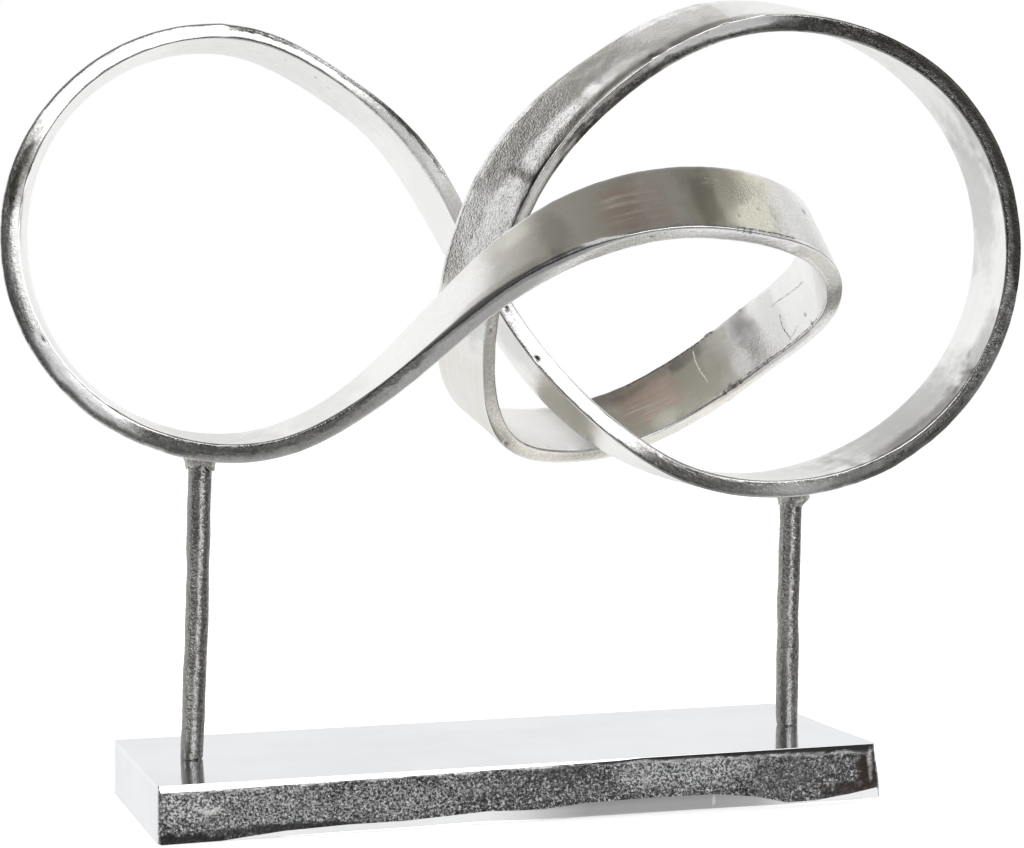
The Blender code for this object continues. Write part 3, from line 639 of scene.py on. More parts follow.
def castingPiece(name, start, end, hammered):
    # rings of the rounded section carried along the path, with relief, closed at both seams
    values, width = bandSurface, bandShape["width"]
    low, high = start + values["seamGap"] / 2, end - values["seamGap"] / 2
    places = np.linspace(low, high, math.ceil((high - low) / values["step"]) + 1)
    points, widths, normals, thick = frameAt(places)
    plain = points[:, None] + core[None, :, :1] * widths[:, None] * width / 2
    plain = plain + core[None, :, 1:] * normals[:, None] * thick[:, None, None] / 2
    corner = bandShape["cornerRound"] * (1 + layered(plain, values["cornerWave"]))
    soft = values["softCorner"]
    length = window(places, soft["start"], soft["end"], soft["rise"])
    nearFront = softStep(0.4, -0.8, core[:, 0]) * softStep(-0.8, 0.4, core[:, 1])
    corner = corner + soft["more"] * length[:, None] * nearFront
    relief, skin, stains = bandRelief(places, plain, values)
    sandy = values["sandGrainHeight"] * layered(plain, values["sandGrain"])
    relief = relief + sandy * stains["sand"]
    if hammered:
        size = values["hammerSize"]
        blows = dimples(plain, size, 41) + 0.3 * dimples(plain, size / 2.5, 43)
        strength = window(places, *hammered, values["hammerRise"], values["hammerFall"])
        face = (onFaceOne | onFaceTwo)[None, :] * (1 - np.abs(core[None, :, 0]) ** 10)
        relief = relief + values["hammer"] * strength[:, None] * blows * face
    dark = addMarks(places, relief, thick)
    relief = np.minimum(relief, values["highest"])
    across = core[:, 0] * (width / 2 - corner) + (corner + relief) * offset[:, 0]
    through = core[:, 1] * (thick[:, None] / 2 - corner) + (corner + relief) * offset[:, 1]
    rings = points[:, None] + across[..., None] * widths[:, None]
    rings = rings + through[..., None] * normals[:, None]
    inset = values["boxInset"]
    rings = np.clip(rings, np.array(cadBox[0]) + inset, np.array(cadBox[1]) - inset)
    ends = [rings[0] + (points[0] - rings[0]) * share for share in (0.55, 0.08)]
    starts = [rings[-1] + (points[-1] - rings[-1]) * share for share in (0.08, 0.55)]
    rings = np.concatenate((ends, rings, starts))

    pad = ((2, 2), (0, 0))  # the rings added at both ends
    # how near each column is to its side's rim: faces are even sides, edges odd ones
    fromRim = np.where(side % 2 == 0, (1 - np.abs(core[:, 0])) * width / 2,
                       (1 - np.abs(core[:, 1])) * bandShape["thickness"] / 2)
    rim = np.where(side == 4, 0.0, np.minimum(1, fromRim / values["rubWidth"]))
    edge = ((side % 2 == 1) | (side == 4) & (np.abs(offset[:, 0]) > 0.7)).astype(float)
    steps = np.linalg.norm(np.diff(plain[0], axis=0, append=plain[0][:1]), axis=1)
    around = np.concatenate(([0], np.cumsum(steps)))
    fields = dict(stains, skin=skin, dark=dark, paintedLightShade=paintedLightField(places, plain, values))
    masks = {key: np.pad(field, pad, mode="edge") for key, field in fields.items()}
    masks.update(corner=1 - rim, edge=edge)
    return gridMesh(name, rings, (np.pad(places, 2, mode="edge"), around), masks)


def connect(tree, target, inputs):
    # links or sets a node's inputs
    for key, value in inputs.items():
        if isinstance(value, bpy.types.NodeSocket):
            tree.links.new(value, target.inputs[key])
        else:
            target.inputs[key].default_value = value


def addNode(tree, kind, inputs=None, **settings):
    new = tree.nodes.new("ShaderNode" + kind)
    for key, value in settings.items():
        setattr(new, key, value)
    connect(tree, new, inputs or {})
    return new


def useGroup(tree, group, inputs):
    return addNode(tree, "Group", inputs, node_tree=group).outputs


def arithmetic(tree, operation, first, second, clamp=False):
    settings = dict(operation=operation, use_clamp=clamp)
    return addNode(tree, "Math", {0: first, 1: second}, **settings).outputs[0]


def times(tree, *factors, clamp=False):
    product = factors[0]
    for factor in factors[1:]:
        product = arithmetic(tree, "MULTIPLY", product, factor, clamp)
    return product


def larger(tree, first, second):
    return arithmetic(tree, "MAXIMUM", first, second)


def restOf(tree, share):
    # what a share leaves of one
    return arithmetic(tree, "SUBTRACT", 1.0, share)


def remap(tree, value, low, high, newLow=0.0, newHigh=1.0, smooth=False):
    inputs = {
        "Value": value, "From Min": low, "From Max": high, "To Min": newLow, "To Max": newHigh}
    kind = "SMOOTHSTEP" if smooth else "LINEAR"
    return addNode(tree, "MapRange", inputs, interpolation_type=kind).outputs[0]


def noise(tree, vector, scale, detail=2.0, roughness=0.5, distortion=0.0):
    return addNode(tree, "TexNoise", {
        "Vector": vector, "Scale": scale, "Detail": detail, "Roughness": roughness,
        "Distortion": distortion}).outputs


def blendColour(tree, share, first, second):
    return addNode(tree, "Mix", {0: share, 6: first, 7: second}, data_type="RGBA").outputs[2]


def blendValue(tree, share, first, second):
    return addNode(tree, "Mix", {0: share, 2: first, 3: second}, data_type="FLOAT").outputs[0]


def stacked(tree, blend, base, *coats):
    # coats laid over the base one after another, each with its mask
    for mask, coat in coats:
        base = blend(tree, mask, base, coat)
    return base


def grey(level, warm=0.0):
    # a grey that leans towards yellow by warm
    return (level * (1 + 0.5 * warm), level, level * (1 - warm), 1.0)


def raised(tree, height, distance, under=None):
    inputs = {"Height": height, "Distance": distance, "Strength": 1.0}
    if under is not None:
        inputs["Normal"] = under
    return addNode(tree, "Bump", inputs).outputs[0]


def newGroup(name, inputs, outputs):
    # an empty node group with its sockets, and its input and output nodes
    group = bpy.data.node_groups.new(name, "ShaderNodeTree")
    for key, value in inputs.items():
        kind = "NodeSocketVector" if value is None else "NodeSocketFloat"
        socket = group.interface.new_socket(key, in_out="INPUT", socket_type=kind)
        if value is not None:
            socket.default_value = value
    for key in outputs:
        group.interface.new_socket(key, in_out="OUTPUT", socket_type="NodeSocketFloat")
    return group, group.nodes.new("NodeGroupInput").outputs, group.nodes.new("NodeGroupOutput")


def makeCastGrain():
    # sand-cast grain: rounded grains, and a mask of small bright flecks
    group, given, result = newGroup(
        "castGrain", {"Vector": None, "Scale": 800.0}, ("Height", "Fleck", "Tone"))
    vector, scale = given["Vector"], given["Scale"]
    coarse = noise(group, vector, scale, 2.5, 0.62)[0]
    cells = addNode(group, "TexVoronoi", {"Vector": vector, "Scale": times(group, scale, 1.25)})
    grains = remap(group, cells.outputs["Distance"], 0.05, 0.75, 1.0, 0.0)
    tops = noise(group, vector, times(group, scale, 0.9), 3.0, 0.78, 0.5)[0]
    connect(group, result, {
        "Height": blendValue(group, 0.55, coarse, grains),
        "Fleck": remap(group, tops, 0.53, 0.60, smooth=True),
        "Tone": remap(group, coarse, 0.36, 0.64, smooth=True),
    })
    return group


def makeBrushMarks():
    # fine scratches along the piece: noise stretched along its map's first axis
    group, given, result = newGroup(
        "brushMarks", {"Vector": None, "Along": 60.0, "Across": 2600.0}, ("Height", "Streak"))
    split = addNode(group, "SeparateXYZ", {0: given["Vector"]}).outputs
    along, across = times(group, split[0], given["Along"]), times(group, split[1], given["Across"])
    vector = addNode(group, "CombineXYZ", {0: along, 1: across, 2: split[2]}).outputs[0]
    fine, broad = noise(group, vector, 1.0, 3.0, 0.7)[0], noise(group, vector, 0.17)[0]
    streak = remap(group, blendValue(group, 0.5, fine, broad), 0.38, 0.62, smooth=True)
    connect(group, result, {"Height": fine, "Streak": streak})
    return group


def makeClouds():
    # slow change over a surface, from 0 to 1, in two sizes
    group, given, result = newGroup("clouds", {"Vector": None, "Scale": 30.0}, ("Broad", "Small"))
    broad = noise(group, given["Vector"], given["Scale"], 3.0, 0.55)[0]
    small = noise(group, given["Vector"], times(group, given["Scale"], 7.0), 4.0)[0]
    for key, value in (("Broad", broad), ("Small", small)):
        connect(group, result, {key: remap(group, value, 0.3, 0.7, smooth=True)})
    return group


def makeEdgeWear():
    # where a corner is rubbed bright: the corner mask, broken up by noise
    group, given, result = newGroup(
        "edgeWear", {"Vector": None, "Corner": 0.0, "Scale": 260.0}, ("Mask",))
    rubs = noise(group, given["Vector"], given["Scale"], 3.0, 0.6)[0]
    broken = arithmetic(group, "ADD", given["Corner"], arithmetic(group, "SUBTRACT", rubs, 0.5))
    connect(group, result, {"Mask": remap(group, broken, 0.60, 0.92, smooth=True)})
    return group


def makeCrackLine():
    # thin line from Start to End, wandering a little, of uneven strength
    group, given, result = newGroup("crackLine", {
        "Vector": None, "Start": None, "End": None, "Width": 0.0003, "Strength": 1.0}, ("Mask",))

    def vectorMath(operation, first, second, output="Vector"):
        node = addNode(group, "VectorMath", {0: first, 1: second}, operation=operation)
        return node.outputs[output]

    shake = noise(group, given["Vector"], 520.0, 3.0)
    moved = vectorMath("SUBTRACT", shake["Color"], (0.5, 0.5, 0.5))
    moved = vectorMath("MULTIPLY", moved, (0.0016, 0.0016, 0.0))
    reach = vectorMath("SUBTRACT", vectorMath("ADD", given["Vector"], moved), given["Start"])
    whole = vectorMath("SUBTRACT", given["End"], given["Start"])
    share = arithmetic(group, "DIVIDE", vectorMath("DOT_PRODUCT", reach, whole, "Value"),
                       vectorMath("DOT_PRODUCT", whole, whole, "Value"), clamp=True)
    nearest = addNode(group, "VectorMath", {0: whole, "Scale": share}, operation="SCALE").outputs[0]
    distance = vectorMath("DISTANCE", reach, nearest, "Value")
    distance = arithmetic(group, "DIVIDE", distance, given["Width"])
    line = remap(group, distance, 0.35, 1.1, 1.0, 0.0, smooth=True)
    uneven = remap(group, shake[0], 0.35, 0.55, 0.35, 1.0, smooth=True)
    connect(group, result, {"Mask": times(group, line, uneven, given["Strength"])})
    return group


castGrain, brushMarks, crackLine = makeCastGrain(), makeBrushMarks(), makeCrackLine()
clouds, edgeWear = makeClouds(), makeEdgeWear()
print("node groups made")


def startMaterial(name, metallic=1.0):
    # a new material, with the piece's object coordinates and its map
    material = bpy.data.materials.new(name)
    material.use_nodes = True
    tree = material.node_tree
    shader = tree.nodes["Principled BSDF"]
    shader.inputs["Metallic"].default_value = metallic
    coordinates = addNode(tree, "TexCoord").outputs
    return material, tree, shader, coordinates["Object"], coordinates["UV"]


def attributes(tree, *names):
    # the masks that the piece's mesh carries
    return [addNode(tree, "Attribute", attribute_name=name).outputs["Fac"] for name in names]


# What the castings have in common: scales, colours, roughness and heights.
bandFinish = dict(
    cloudScale=28.0, grainScale=700.0, brushAlong=55.0, brushAcross=2300.0,
    streak=grey(0.60, 0.02), sand=grey(0.50, 0.03), edgeLevels=(0.88, 0.78),
    tarnish=(0.74, 0.71, 0.58, 1.0), blush=(0.86, 0.62, 0.54, 1.0), pale=(1.0, 0.98, 0.80, 1.0),
    skin=(grey(0.13, 0.04), grey(0.27, 0.03)), fleck=grey(0.50, 0.01),
    # spot is the colour of the painted shade spots; pale is that of the painted highlights over the
    # tarnish
    worn=grey(0.86, 0.01), wornShare=0.45, spot=grey(0.08, 0.12), crack=grey(0.04),
    pit=grey(0.05), pitShare=0.85, paintedHighlightMatt=0.8,
    sandRoughness=0.34, skinRoughness=0.46, wornRoughness=0.22, edgeRoughness=(0.17, 0.28),
    sandHeight=0.00045, skinHeight=0.00020, edgeHeight=0.00003, crackDepth=0.00025,
)
# The castings in order along the band. hammered is the stretch with hammer blows.
castingFinishes = dict(
    leftCasting=dict(
        node="left_casting", hammered=None, level=0.95, warm=0.010, edgeWarm=0.02,
        polish=(0.27, 0.33), brushHeight=0.000022, streak=0.10,
    ),
    middleCasting=dict(
        node="middle_casting", hammered=(1.06, 1.27), level=0.84, warm=0.040, edgeWarm=0.09,
        polish=(0.28, 0.36), brushHeight=0.000026, streak=0.20,
    ),
    rightCasting=dict(
        node="right_casting", hammered=None, level=0.94, warm=0.006, edgeWarm=0.02,
        polish=(0.27, 0.33), brushHeight=0.000022, streak=0.12,
    ),
)


def castingLines(tree, name, start, path):
    # the casting's hairlines as masks, dark and light: each stretch is one crackLine group
    width, thick = bandShape["width"], frameAt(np.array((start,)))[3][0]
    # the map's second axis runs round the section: face one, front edge, face two
    axes = dict(one=(0, -1, width), front=(width, -1, thick), two=(width + thick, 1, width))

    def spot(sideName, place, across):
        first, way, reach = axes[sideName]
        return (place, first + (1 + way * across) / 2 * reach, 0.0)

    masks = {True: 0.0, False: 0.0}
    for sideName, points, wide, strength in hairlines[name]:
        for first, second in zip(points[:-1], points[1:]):
            line = useGroup(tree, crackLine, {
                "Vector": path, "Start": spot(sideName, *first), "End": spot(sideName, *second),
                "Width": wide, "Strength": abs(strength)})["Mask"]
            masks[strength > 0] = larger(tree, masks[strength > 0], line)
    return masks[True], masks[False]


def castingMetal(name, start, values):
    # brushed wide faces, ground edges, rough dark skin where the mask says so, and painted
    # highlights and painted shade
    material, tree, shader, place, path = startMaterial(name + "Metal")
    band, level, warm = bandFinish, values["level"], values["warm"]
    skin, corner, edge, dark, sand, tarnish, blush, paintedLightShade = attributes(
        tree, "skin", "corner", "edge", "dark", "sand", "tarnish", "blush", "paintedLightShade")
    lines, lightLines = castingLines(tree, name, start, path)
    cloud = useGroup(tree, clouds, {"Vector": place, "Scale": band["cloudScale"]})
    brush = useGroup(tree, brushMarks, {
        "Vector": path, "Along": band["brushAlong"], "Across": band["brushAcross"]})
    grain = useGroup(tree, castGrain, {"Vector": place, "Scale": band["grainScale"]})
    worn = useGroup(tree, edgeWear, {"Vector": place, "Corner": corner})["Mask"]

    # reddish smears follow the brush marks, with painted highlights gleaming between them
    smear = times(tree, blush, remap(tree, brush["Streak"], 0, 1, 0.9, 0.4))
    gleam = times(tree, blush, remap(tree, brush["Streak"], 0.65, 1.0, 0.0, 0.55, smooth=True))
    # the painted highlight spots are broken up by the grain where sand was left
    broken = arithmetic(tree, "ADD", grain["Tone"], cloud["Small"])
    broken = blendValue(tree, sand, 1.0, remap(tree, broken, 0.45, 1.20, 0.55, 1.12))
    paintedHighlight = times(tree, times(tree, paintedLightShade, 1.0, clamp=True), broken, clamp=True)
    paintedHighlight = larger(tree, paintedHighlight, gleam)
    ground = (grey(tint, values["edgeWarm"]) for tint in band["edgeLevels"])
    skinTone = blendColour(tree, cloud["Small"], *band["skin"])
    colour = stacked(
        tree, blendColour,
        blendColour(tree, cloud["Broad"], grey(level * 0.95, warm * 1.6), grey(level, warm)),
        (times(tree, brush["Streak"], values["streak"]), band["streak"]),
        (tarnish, band["tarnish"]), (smear, band["blush"]),
        (times(tree, sand, grain["Tone"]), band["sand"]),
        (edge, blendColour(tree, grain["Tone"], *ground)),
        (skin, blendColour(tree, grain["Fleck"], skinTone, band["fleck"])),
        (times(tree, worn, band["wornShare"]), band["worn"]),
        # painted shade from the dark spots, then the painted highlights, white and matt, paler over
        # the tarnish
        (times(tree, paintedLightShade, -1.0, clamp=True), band["spot"]),
        (paintedHighlight, blendColour(tree, tarnish, grey(1.0), band["pale"])),
        (times(tree, dark, band["pitShare"]), band["pit"]),
        (lines, band["crack"]), (lightLines, grey(1.0)),
    )
    matt = times(tree, arithmetic(tree, "POWER", paintedHighlight, 2.0), band["paintedHighlightMatt"])
    polish = stacked(
        tree, blendValue, blendValue(tree, cloud["Small"], *values["polish"]),
        (sand, band["sandRoughness"]),
        (edge, blendValue(tree, grain["Tone"], *band["edgeRoughness"])),
        (skin, band["skinRoughness"]), (worn, band["wornRoughness"]),
    )
    rise = stacked(tree, blendValue, times(tree, edge, band["edgeHeight"]),
                   (sand, band["sandHeight"]), (skin, band["skinHeight"]))
    height = arithmetic(tree, "SUBTRACT", times(tree, grain["Height"], rise),
                        times(tree, lines, band["crackDepth"]))
    brushed = raised(tree, brush["Height"], values["brushHeight"])
    connect(tree, shader, {
        "Base Color": colour, "Metallic": restOf(tree, larger(tree, matt, lightLines)),
        "Roughness": polish, "Normal": raised(tree, height, 1.0, under=brushed),
    })
    return material


seamPlaces = [seams["leftLoop"], seams["oval"], seams["rightLoop"], seams["leftLoop"] + bandLength]
for number, (name, values) in enumerate(castingFinishes.items()):
    start, end = seamPlaces[number:number + 2]
    piece = castingPiece(name, start, end, values["hammered"])
    finishPiece(piece, castingMetal(name, start, values), values["node"])
print("band made")


# left and right: where each rod's foot stands, how far it leans and bends, and the painted
# highlight strip down its front, in degrees to the right at its foot and top
rodShape = dict(
    radius=0.0060, foot=0.0288, wave=0.00030, waveSize=0.022, around=96, rings=300,
    dent=0.00007, dentSize=0.0026, footDraw=0.00014, chamfer=0.0007,
    hole=0.0033, holeDepth=0.0180, holeChamfer=0.0005, clear=0.00012,
    # width of the painted highlight strip, and the painted shade on its flanks: degrees from the
    # strip where it starts and is full, and the left one's strength
    rubWidth=7.5, flankRight=(9, 20), flankLeft=(24, 46), flankLeftStrength=0.75,
    left=dict(foot=-0.152, lean=0.006, bend=0.0007, seed=51, strip=(-10, 2)),
    right=dict(foot=0.161, lean=0.002, bend=-0.0005, seed=61, strip=(-15, -11)),
)
# lumps: degrees round the rod, size, and how far down the bead. shift: how far the
# bead's top is moved to the right
beadShape = dict(
    reach=0.0016, depth=0.0060, lip=0.0007, clear=0.00022, around=96, steps=16,
    lumpWidth=26, lumpHeight=0.28, rough=0.00022, roughSize=0.0045,
    left=dict(
        lumps=((200, 0.0008, 0.30), (290, 0.0012, 0.60), (250, 0.0005, 0.25)),
        shift=-0.0003, seed=71,
    ),
    right=dict(
        lumps=((325, 0.0019, 0.62), (150, 0.0003, 0.30), (270, 0.0006, 0.30)),
        shift=0.0012, seed=81,
    ),
)


def degreesFrom(turn, centre):
    # from -180 to 180, counterclockwise from centre
    return (np.degrees(turn) - centre + 180) % 360 - 180


def bandUnder(x):
    # height of the band's lower face round a rod: z as a quadratic in x and y, fitted
    places = np.linspace(0, bandLength, 4000, endpoint=False)
    points, widths, normals, thick = frameAt(places)
    cloud = [points + widths * across + normals * thick[:, None] * face / 2
             for across in np.linspace(-0.012, 0.012, 13) for face in (-1, 1)]
    cloud = np.concatenate(cloud)
    near = cloud[(np.abs(cloud[:, 0] - x) < 0.013) & (np.abs(cloud[:, 1]) < 0.013)]
    near = near[near[:, 2] < near[:, 2].min() + 0.006]

    def terms(px, py):
        px = px - x
        return np.stack((np.ones_like(px), px, py, px * px, px * py, py * py), axis=-1)

    fitted = np.linalg.lstsq(terms(near[:, 0], near[:, 1]), near[:, 2], rcond=None)[0]
    return lambda px, py: terms(px, py) @ fitted


def rodPiece(name, values):
    # turned about a line that leans and bends a little: x = foot + lean t + bend sin(pi t)
    # rings run down the screw hole's wall, out over the foot, up the bar and in at the top
    shape, foot, low = rodShape, values["foot"], rodShape["foot"]
    under = bandUnder(foot + values["lean"])
    turn = np.linspace(0, 2 * math.pi, shape["around"], endpoint=False)
    cosine, sine = np.cos(turn), np.sin(turn)
    high = under(np.array(foot + values["lean"]), np.array(0.0)) - shape["clear"]

    def barRing(height):
        share = (height - low) / (high - low)
        x = foot + values["lean"] * share + values["bend"] * np.sin(math.pi * np.clip(share, 0, 1))
        x, y = x + shape["radius"] * cosine, shape["radius"] * sine
        return np.stack((x, y, np.minimum(height, under(x, y) - shape["clear"])), axis=-1)

    def holeRing(radius, height):
        level = np.full_like(cosine, height)
        return np.stack((foot + radius * cosine, radius * sine, level), axis=-1)

    hole, holeTop, bevel = shape["hole"], low + shape["holeDepth"], shape["holeChamfer"]
    rows = [holeRing(hole * share, holeTop) for share in (0.3, 1.0)]
    rows += [holeRing(hole, height) for height in np.linspace(holeTop, low + 1.2 * bevel, 6)[1:]]
    rows += [holeRing(hole + bevel, low), holeRing(shape["radius"] - shape["chamfer"], low)]
    # the highest rings all lie on the band's underside
    heights = np.linspace(low + shape["chamfer"], high + 0.004, shape["rings"])
    bar = np.stack([barRing(height) for height in heights])
    outward = np.stack((cosine, sine, np.zeros_like(cosine)), axis=-1)[None]
    taper = shape["footDraw"] * softStep(0.10, 0.0, (heights - low) / (high - low))[:, None]
    uneven = shape["wave"] * (ripples(bar, shape["waveSize"], values["seed"]) - 1.2)
    uneven = uneven + shape["dent"] * ripples(bar, shape["dentSize"], values["seed"] + 1)
    bar = bar + outward * (uneven - taper)[..., None]
    top = bar[-1]
    caps = [top + (top.mean(axis=0) - top) * share for share in (0.12, 0.6)]
    for cap in caps:
        cap[:, 2] = np.minimum(cap[:, 2], under(cap[:, 0], cap[:, 1]) - shape["clear"])
    rings = np.concatenate((rows, bar, caps))
    lengths = np.concatenate(([0], np.cumsum(np.linalg.norm(np.diff(rings[:, 0], axis=0), axis=1))))
    around = np.linspace(0, 2 * math.pi * shape["radius"], shape["around"] + 1)
    # a painted highlight strip down the front, and painted shade on the flanks beside it
    share = np.clip((rings[..., 2] - low) / (high - low), 0, 1)
    atFoot, atTop = values["strip"]
    facing = degreesFrom(turn, 270)[None] - atFoot - (atTop - atFoot) * share
    wander = ((4, 0.012, values["seed"] + 2), (3, 0.004, values["seed"] + 3))
    facing = facing + layered(rings, wander)
    flankLeft = shape["flankLeftStrength"] * softStep(*shape["flankLeft"], -facing)
    paintedFlankShade = np.maximum(softStep(*shape["flankRight"], facing), flankLeft)
    masks = dict(paintedHighlight=hump(facing, shape["rubWidth"]), paintedFlankShade=paintedFlankShade)
    return gridMesh(name, rings, (lengths, around), masks), under


def beadPiece(name, values, rod, under):
    # ring of weld metal: for each angle a closed outline of height and radius
    # its outer radius falls from the band to the lip as (1 - h)^1.4, with lumps on it
    shape, steps = beadShape, beadShape["steps"]
    turn = np.linspace(0, 2 * math.pi, shape["around"], endpoint=False)[:, None]
    bar = rodShape["radius"] + shape["clear"]
    fall = np.linspace(0, 1, steps)[None, :]
    outer = bar + shape["lip"] + shape["reach"] * (1 - fall) ** 1.4
    for angle, size, level in values["lumps"]:
        lump = size * hump(degreesFrom(turn, angle), shape["lumpWidth"])
        outer = outer + lump * hump(fall - level, shape["lumpHeight"])
    height = np.broadcast_to(-fall * shape["depth"], outer.shape)
    points = np.stack((np.cos(turn) * outer, np.sin(turn) * outer, height), axis=-1)
    rough = shape["rough"] * ripples(points, shape["roughSize"], values["seed"])
    outer = outer + rough * (1 - 0.5 * fall)
    uneven = 1 + 0.22 * np.sin(2 * turn + values["seed"]) + 0.12 * np.sin(5 * turn)
    depth = shape["depth"] * uneven
    middle = rod["foot"] + rod["lean"]

    def column(radius, centre, share):
        # points round the rod, at a share of the bead's depth under the band
        x, y = (centre + radius * np.cos(turn))[:, 0], (radius * np.sin(turn))[:, 0]
        return np.stack((x, y, under(x, y) - shape["clear"] - share * depth[:, 0]), axis=-1)

    columns = [column(outer[:, number:number + 1], middle + values["shift"] * (1 - share), share)
               for number, share in enumerate(fall[0])]
    columns += [column(bar, middle - rod["lean"] * share * 0.04, share)
                for share in (1.0, 0.75, 0.5, 0.25, 0.0)]
    for share in (0.33, 0.66):
        between = columns[steps + 4] * (1 - share) + columns[0] * share
        between[:, 2] = under(between[:, 0], between[:, 1]) - shape["clear"]
        columns.append(between)
    return gridMesh(name, np.stack(columns), poles=False, endless=True)


rodFinish = dict(
    brushAlong=90.0, brushAcross=1500.0, cloudScale=60.0, grainScale=750.0,
    # skin is the colour of the painted shade on the flanks
    bar=(grey(0.50, 0.05), grey(0.70, 0.04)), skin=(grey(0.09, 0.07), grey(0.20, 0.05)),
    streak=grey(0.20, 0.05), fleck=grey(0.55, 0.02), markShare=0.35, paintedHighlightMatt=0.85,
    polish=(0.17, 0.28), brushHeight=0.00003, grainHeight=0.00024,
)
weldFinish = dict(
    grainScale=620.0, cloudScale=220.0, metal=(grey(0.26, 0.08), grey(0.58, 0.04)),
    fleck=grey(0.72, 0.02), roughness=(0.62, 0.30), grainHeight=0.00034,
)


def rodMetal(name, values):
    # bar rubbed with coarse paper: streaks along it, small dents, darker clouds, a painted
    # highlight strip and painted shade on its flanks
    material, tree, shader, place, path = startMaterial(name)
    brush = useGroup(tree, brushMarks, {
        "Vector": path, "Along": values["brushAlong"], "Across": values["brushAcross"]})
    cloud = useGroup(tree, clouds, {"Vector": place, "Scale": values["cloudScale"]})
    grain = useGroup(tree, castGrain, {"Vector": place, "Scale": values["grainScale"]})
    paintedHighlight, paintedFlankShade = attributes(tree, "paintedHighlight", "paintedFlankShade")
    # the painted highlight strip, white and matt, broken up by the grain and clouds
    broken = arithmetic(tree, "ADD", grain["Tone"], cloud["Small"])
    shine = times(tree, paintedHighlight, remap(tree, broken, 0.40, 1.05, 0.20, 1.0))
    colour = stacked(
        tree, blendColour, blendColour(tree, cloud["Broad"], *values["bar"]),
        (paintedFlankShade, blendColour(tree, grain["Tone"], *values["skin"])),
        (times(tree, brush["Streak"], values["markShare"]), values["streak"]),
        (times(tree, grain["Fleck"], values["markShare"]), values["fleck"]),
        (shine, grey(1.0)),
    )
    brushed = raised(tree, brush["Height"], values["brushHeight"])
    connect(tree, shader, {
        "Base Color": colour, "Metallic": restOf(tree, times(tree, shine, values["paintedHighlightMatt"])),
        "Roughness": blendValue(tree, cloud["Small"], *values["polish"]),
        "Normal": raised(tree, grain["Height"], values["grainHeight"], under=brushed),
    })
    return material


def weldMetal(name, values):
    # raw weld metal: dull and grained, darker in its clouds
    material, tree, shader, place, path = startMaterial(name)
    grain = useGroup(tree, castGrain, {"Vector": place, "Scale": values["grainScale"]})
    cloud = useGroup(tree, clouds, {"Vector": place, "Scale": values["cloudScale"]})
    metal = blendColour(tree, cloud["Broad"], *values["metal"])
    connect(tree, shader, {
        "Base Color": blendColour(tree, grain["Fleck"], metal, values["fleck"]),
        "Roughness": blendValue(tree, grain["Tone"], *values["roughness"]),
        "Normal": raised(tree, grain["Height"], values["grainHeight"]),
    })
    return material


for word in ("left", "right"):
    rod, under = rodPiece(word + "Rod", rodShape[word])
    finishPiece(rod, rodMetal(word + "RodMetal", rodFinish), word + "_rod")
    bead = beadPiece(word + "WeldBead", beadShape[word], rodShape[word], under)
    finishPiece(bead, weldMetal(word + "WeldMetal", weldFinish), word + "_weld_bead")
print("rods and weld metal made")


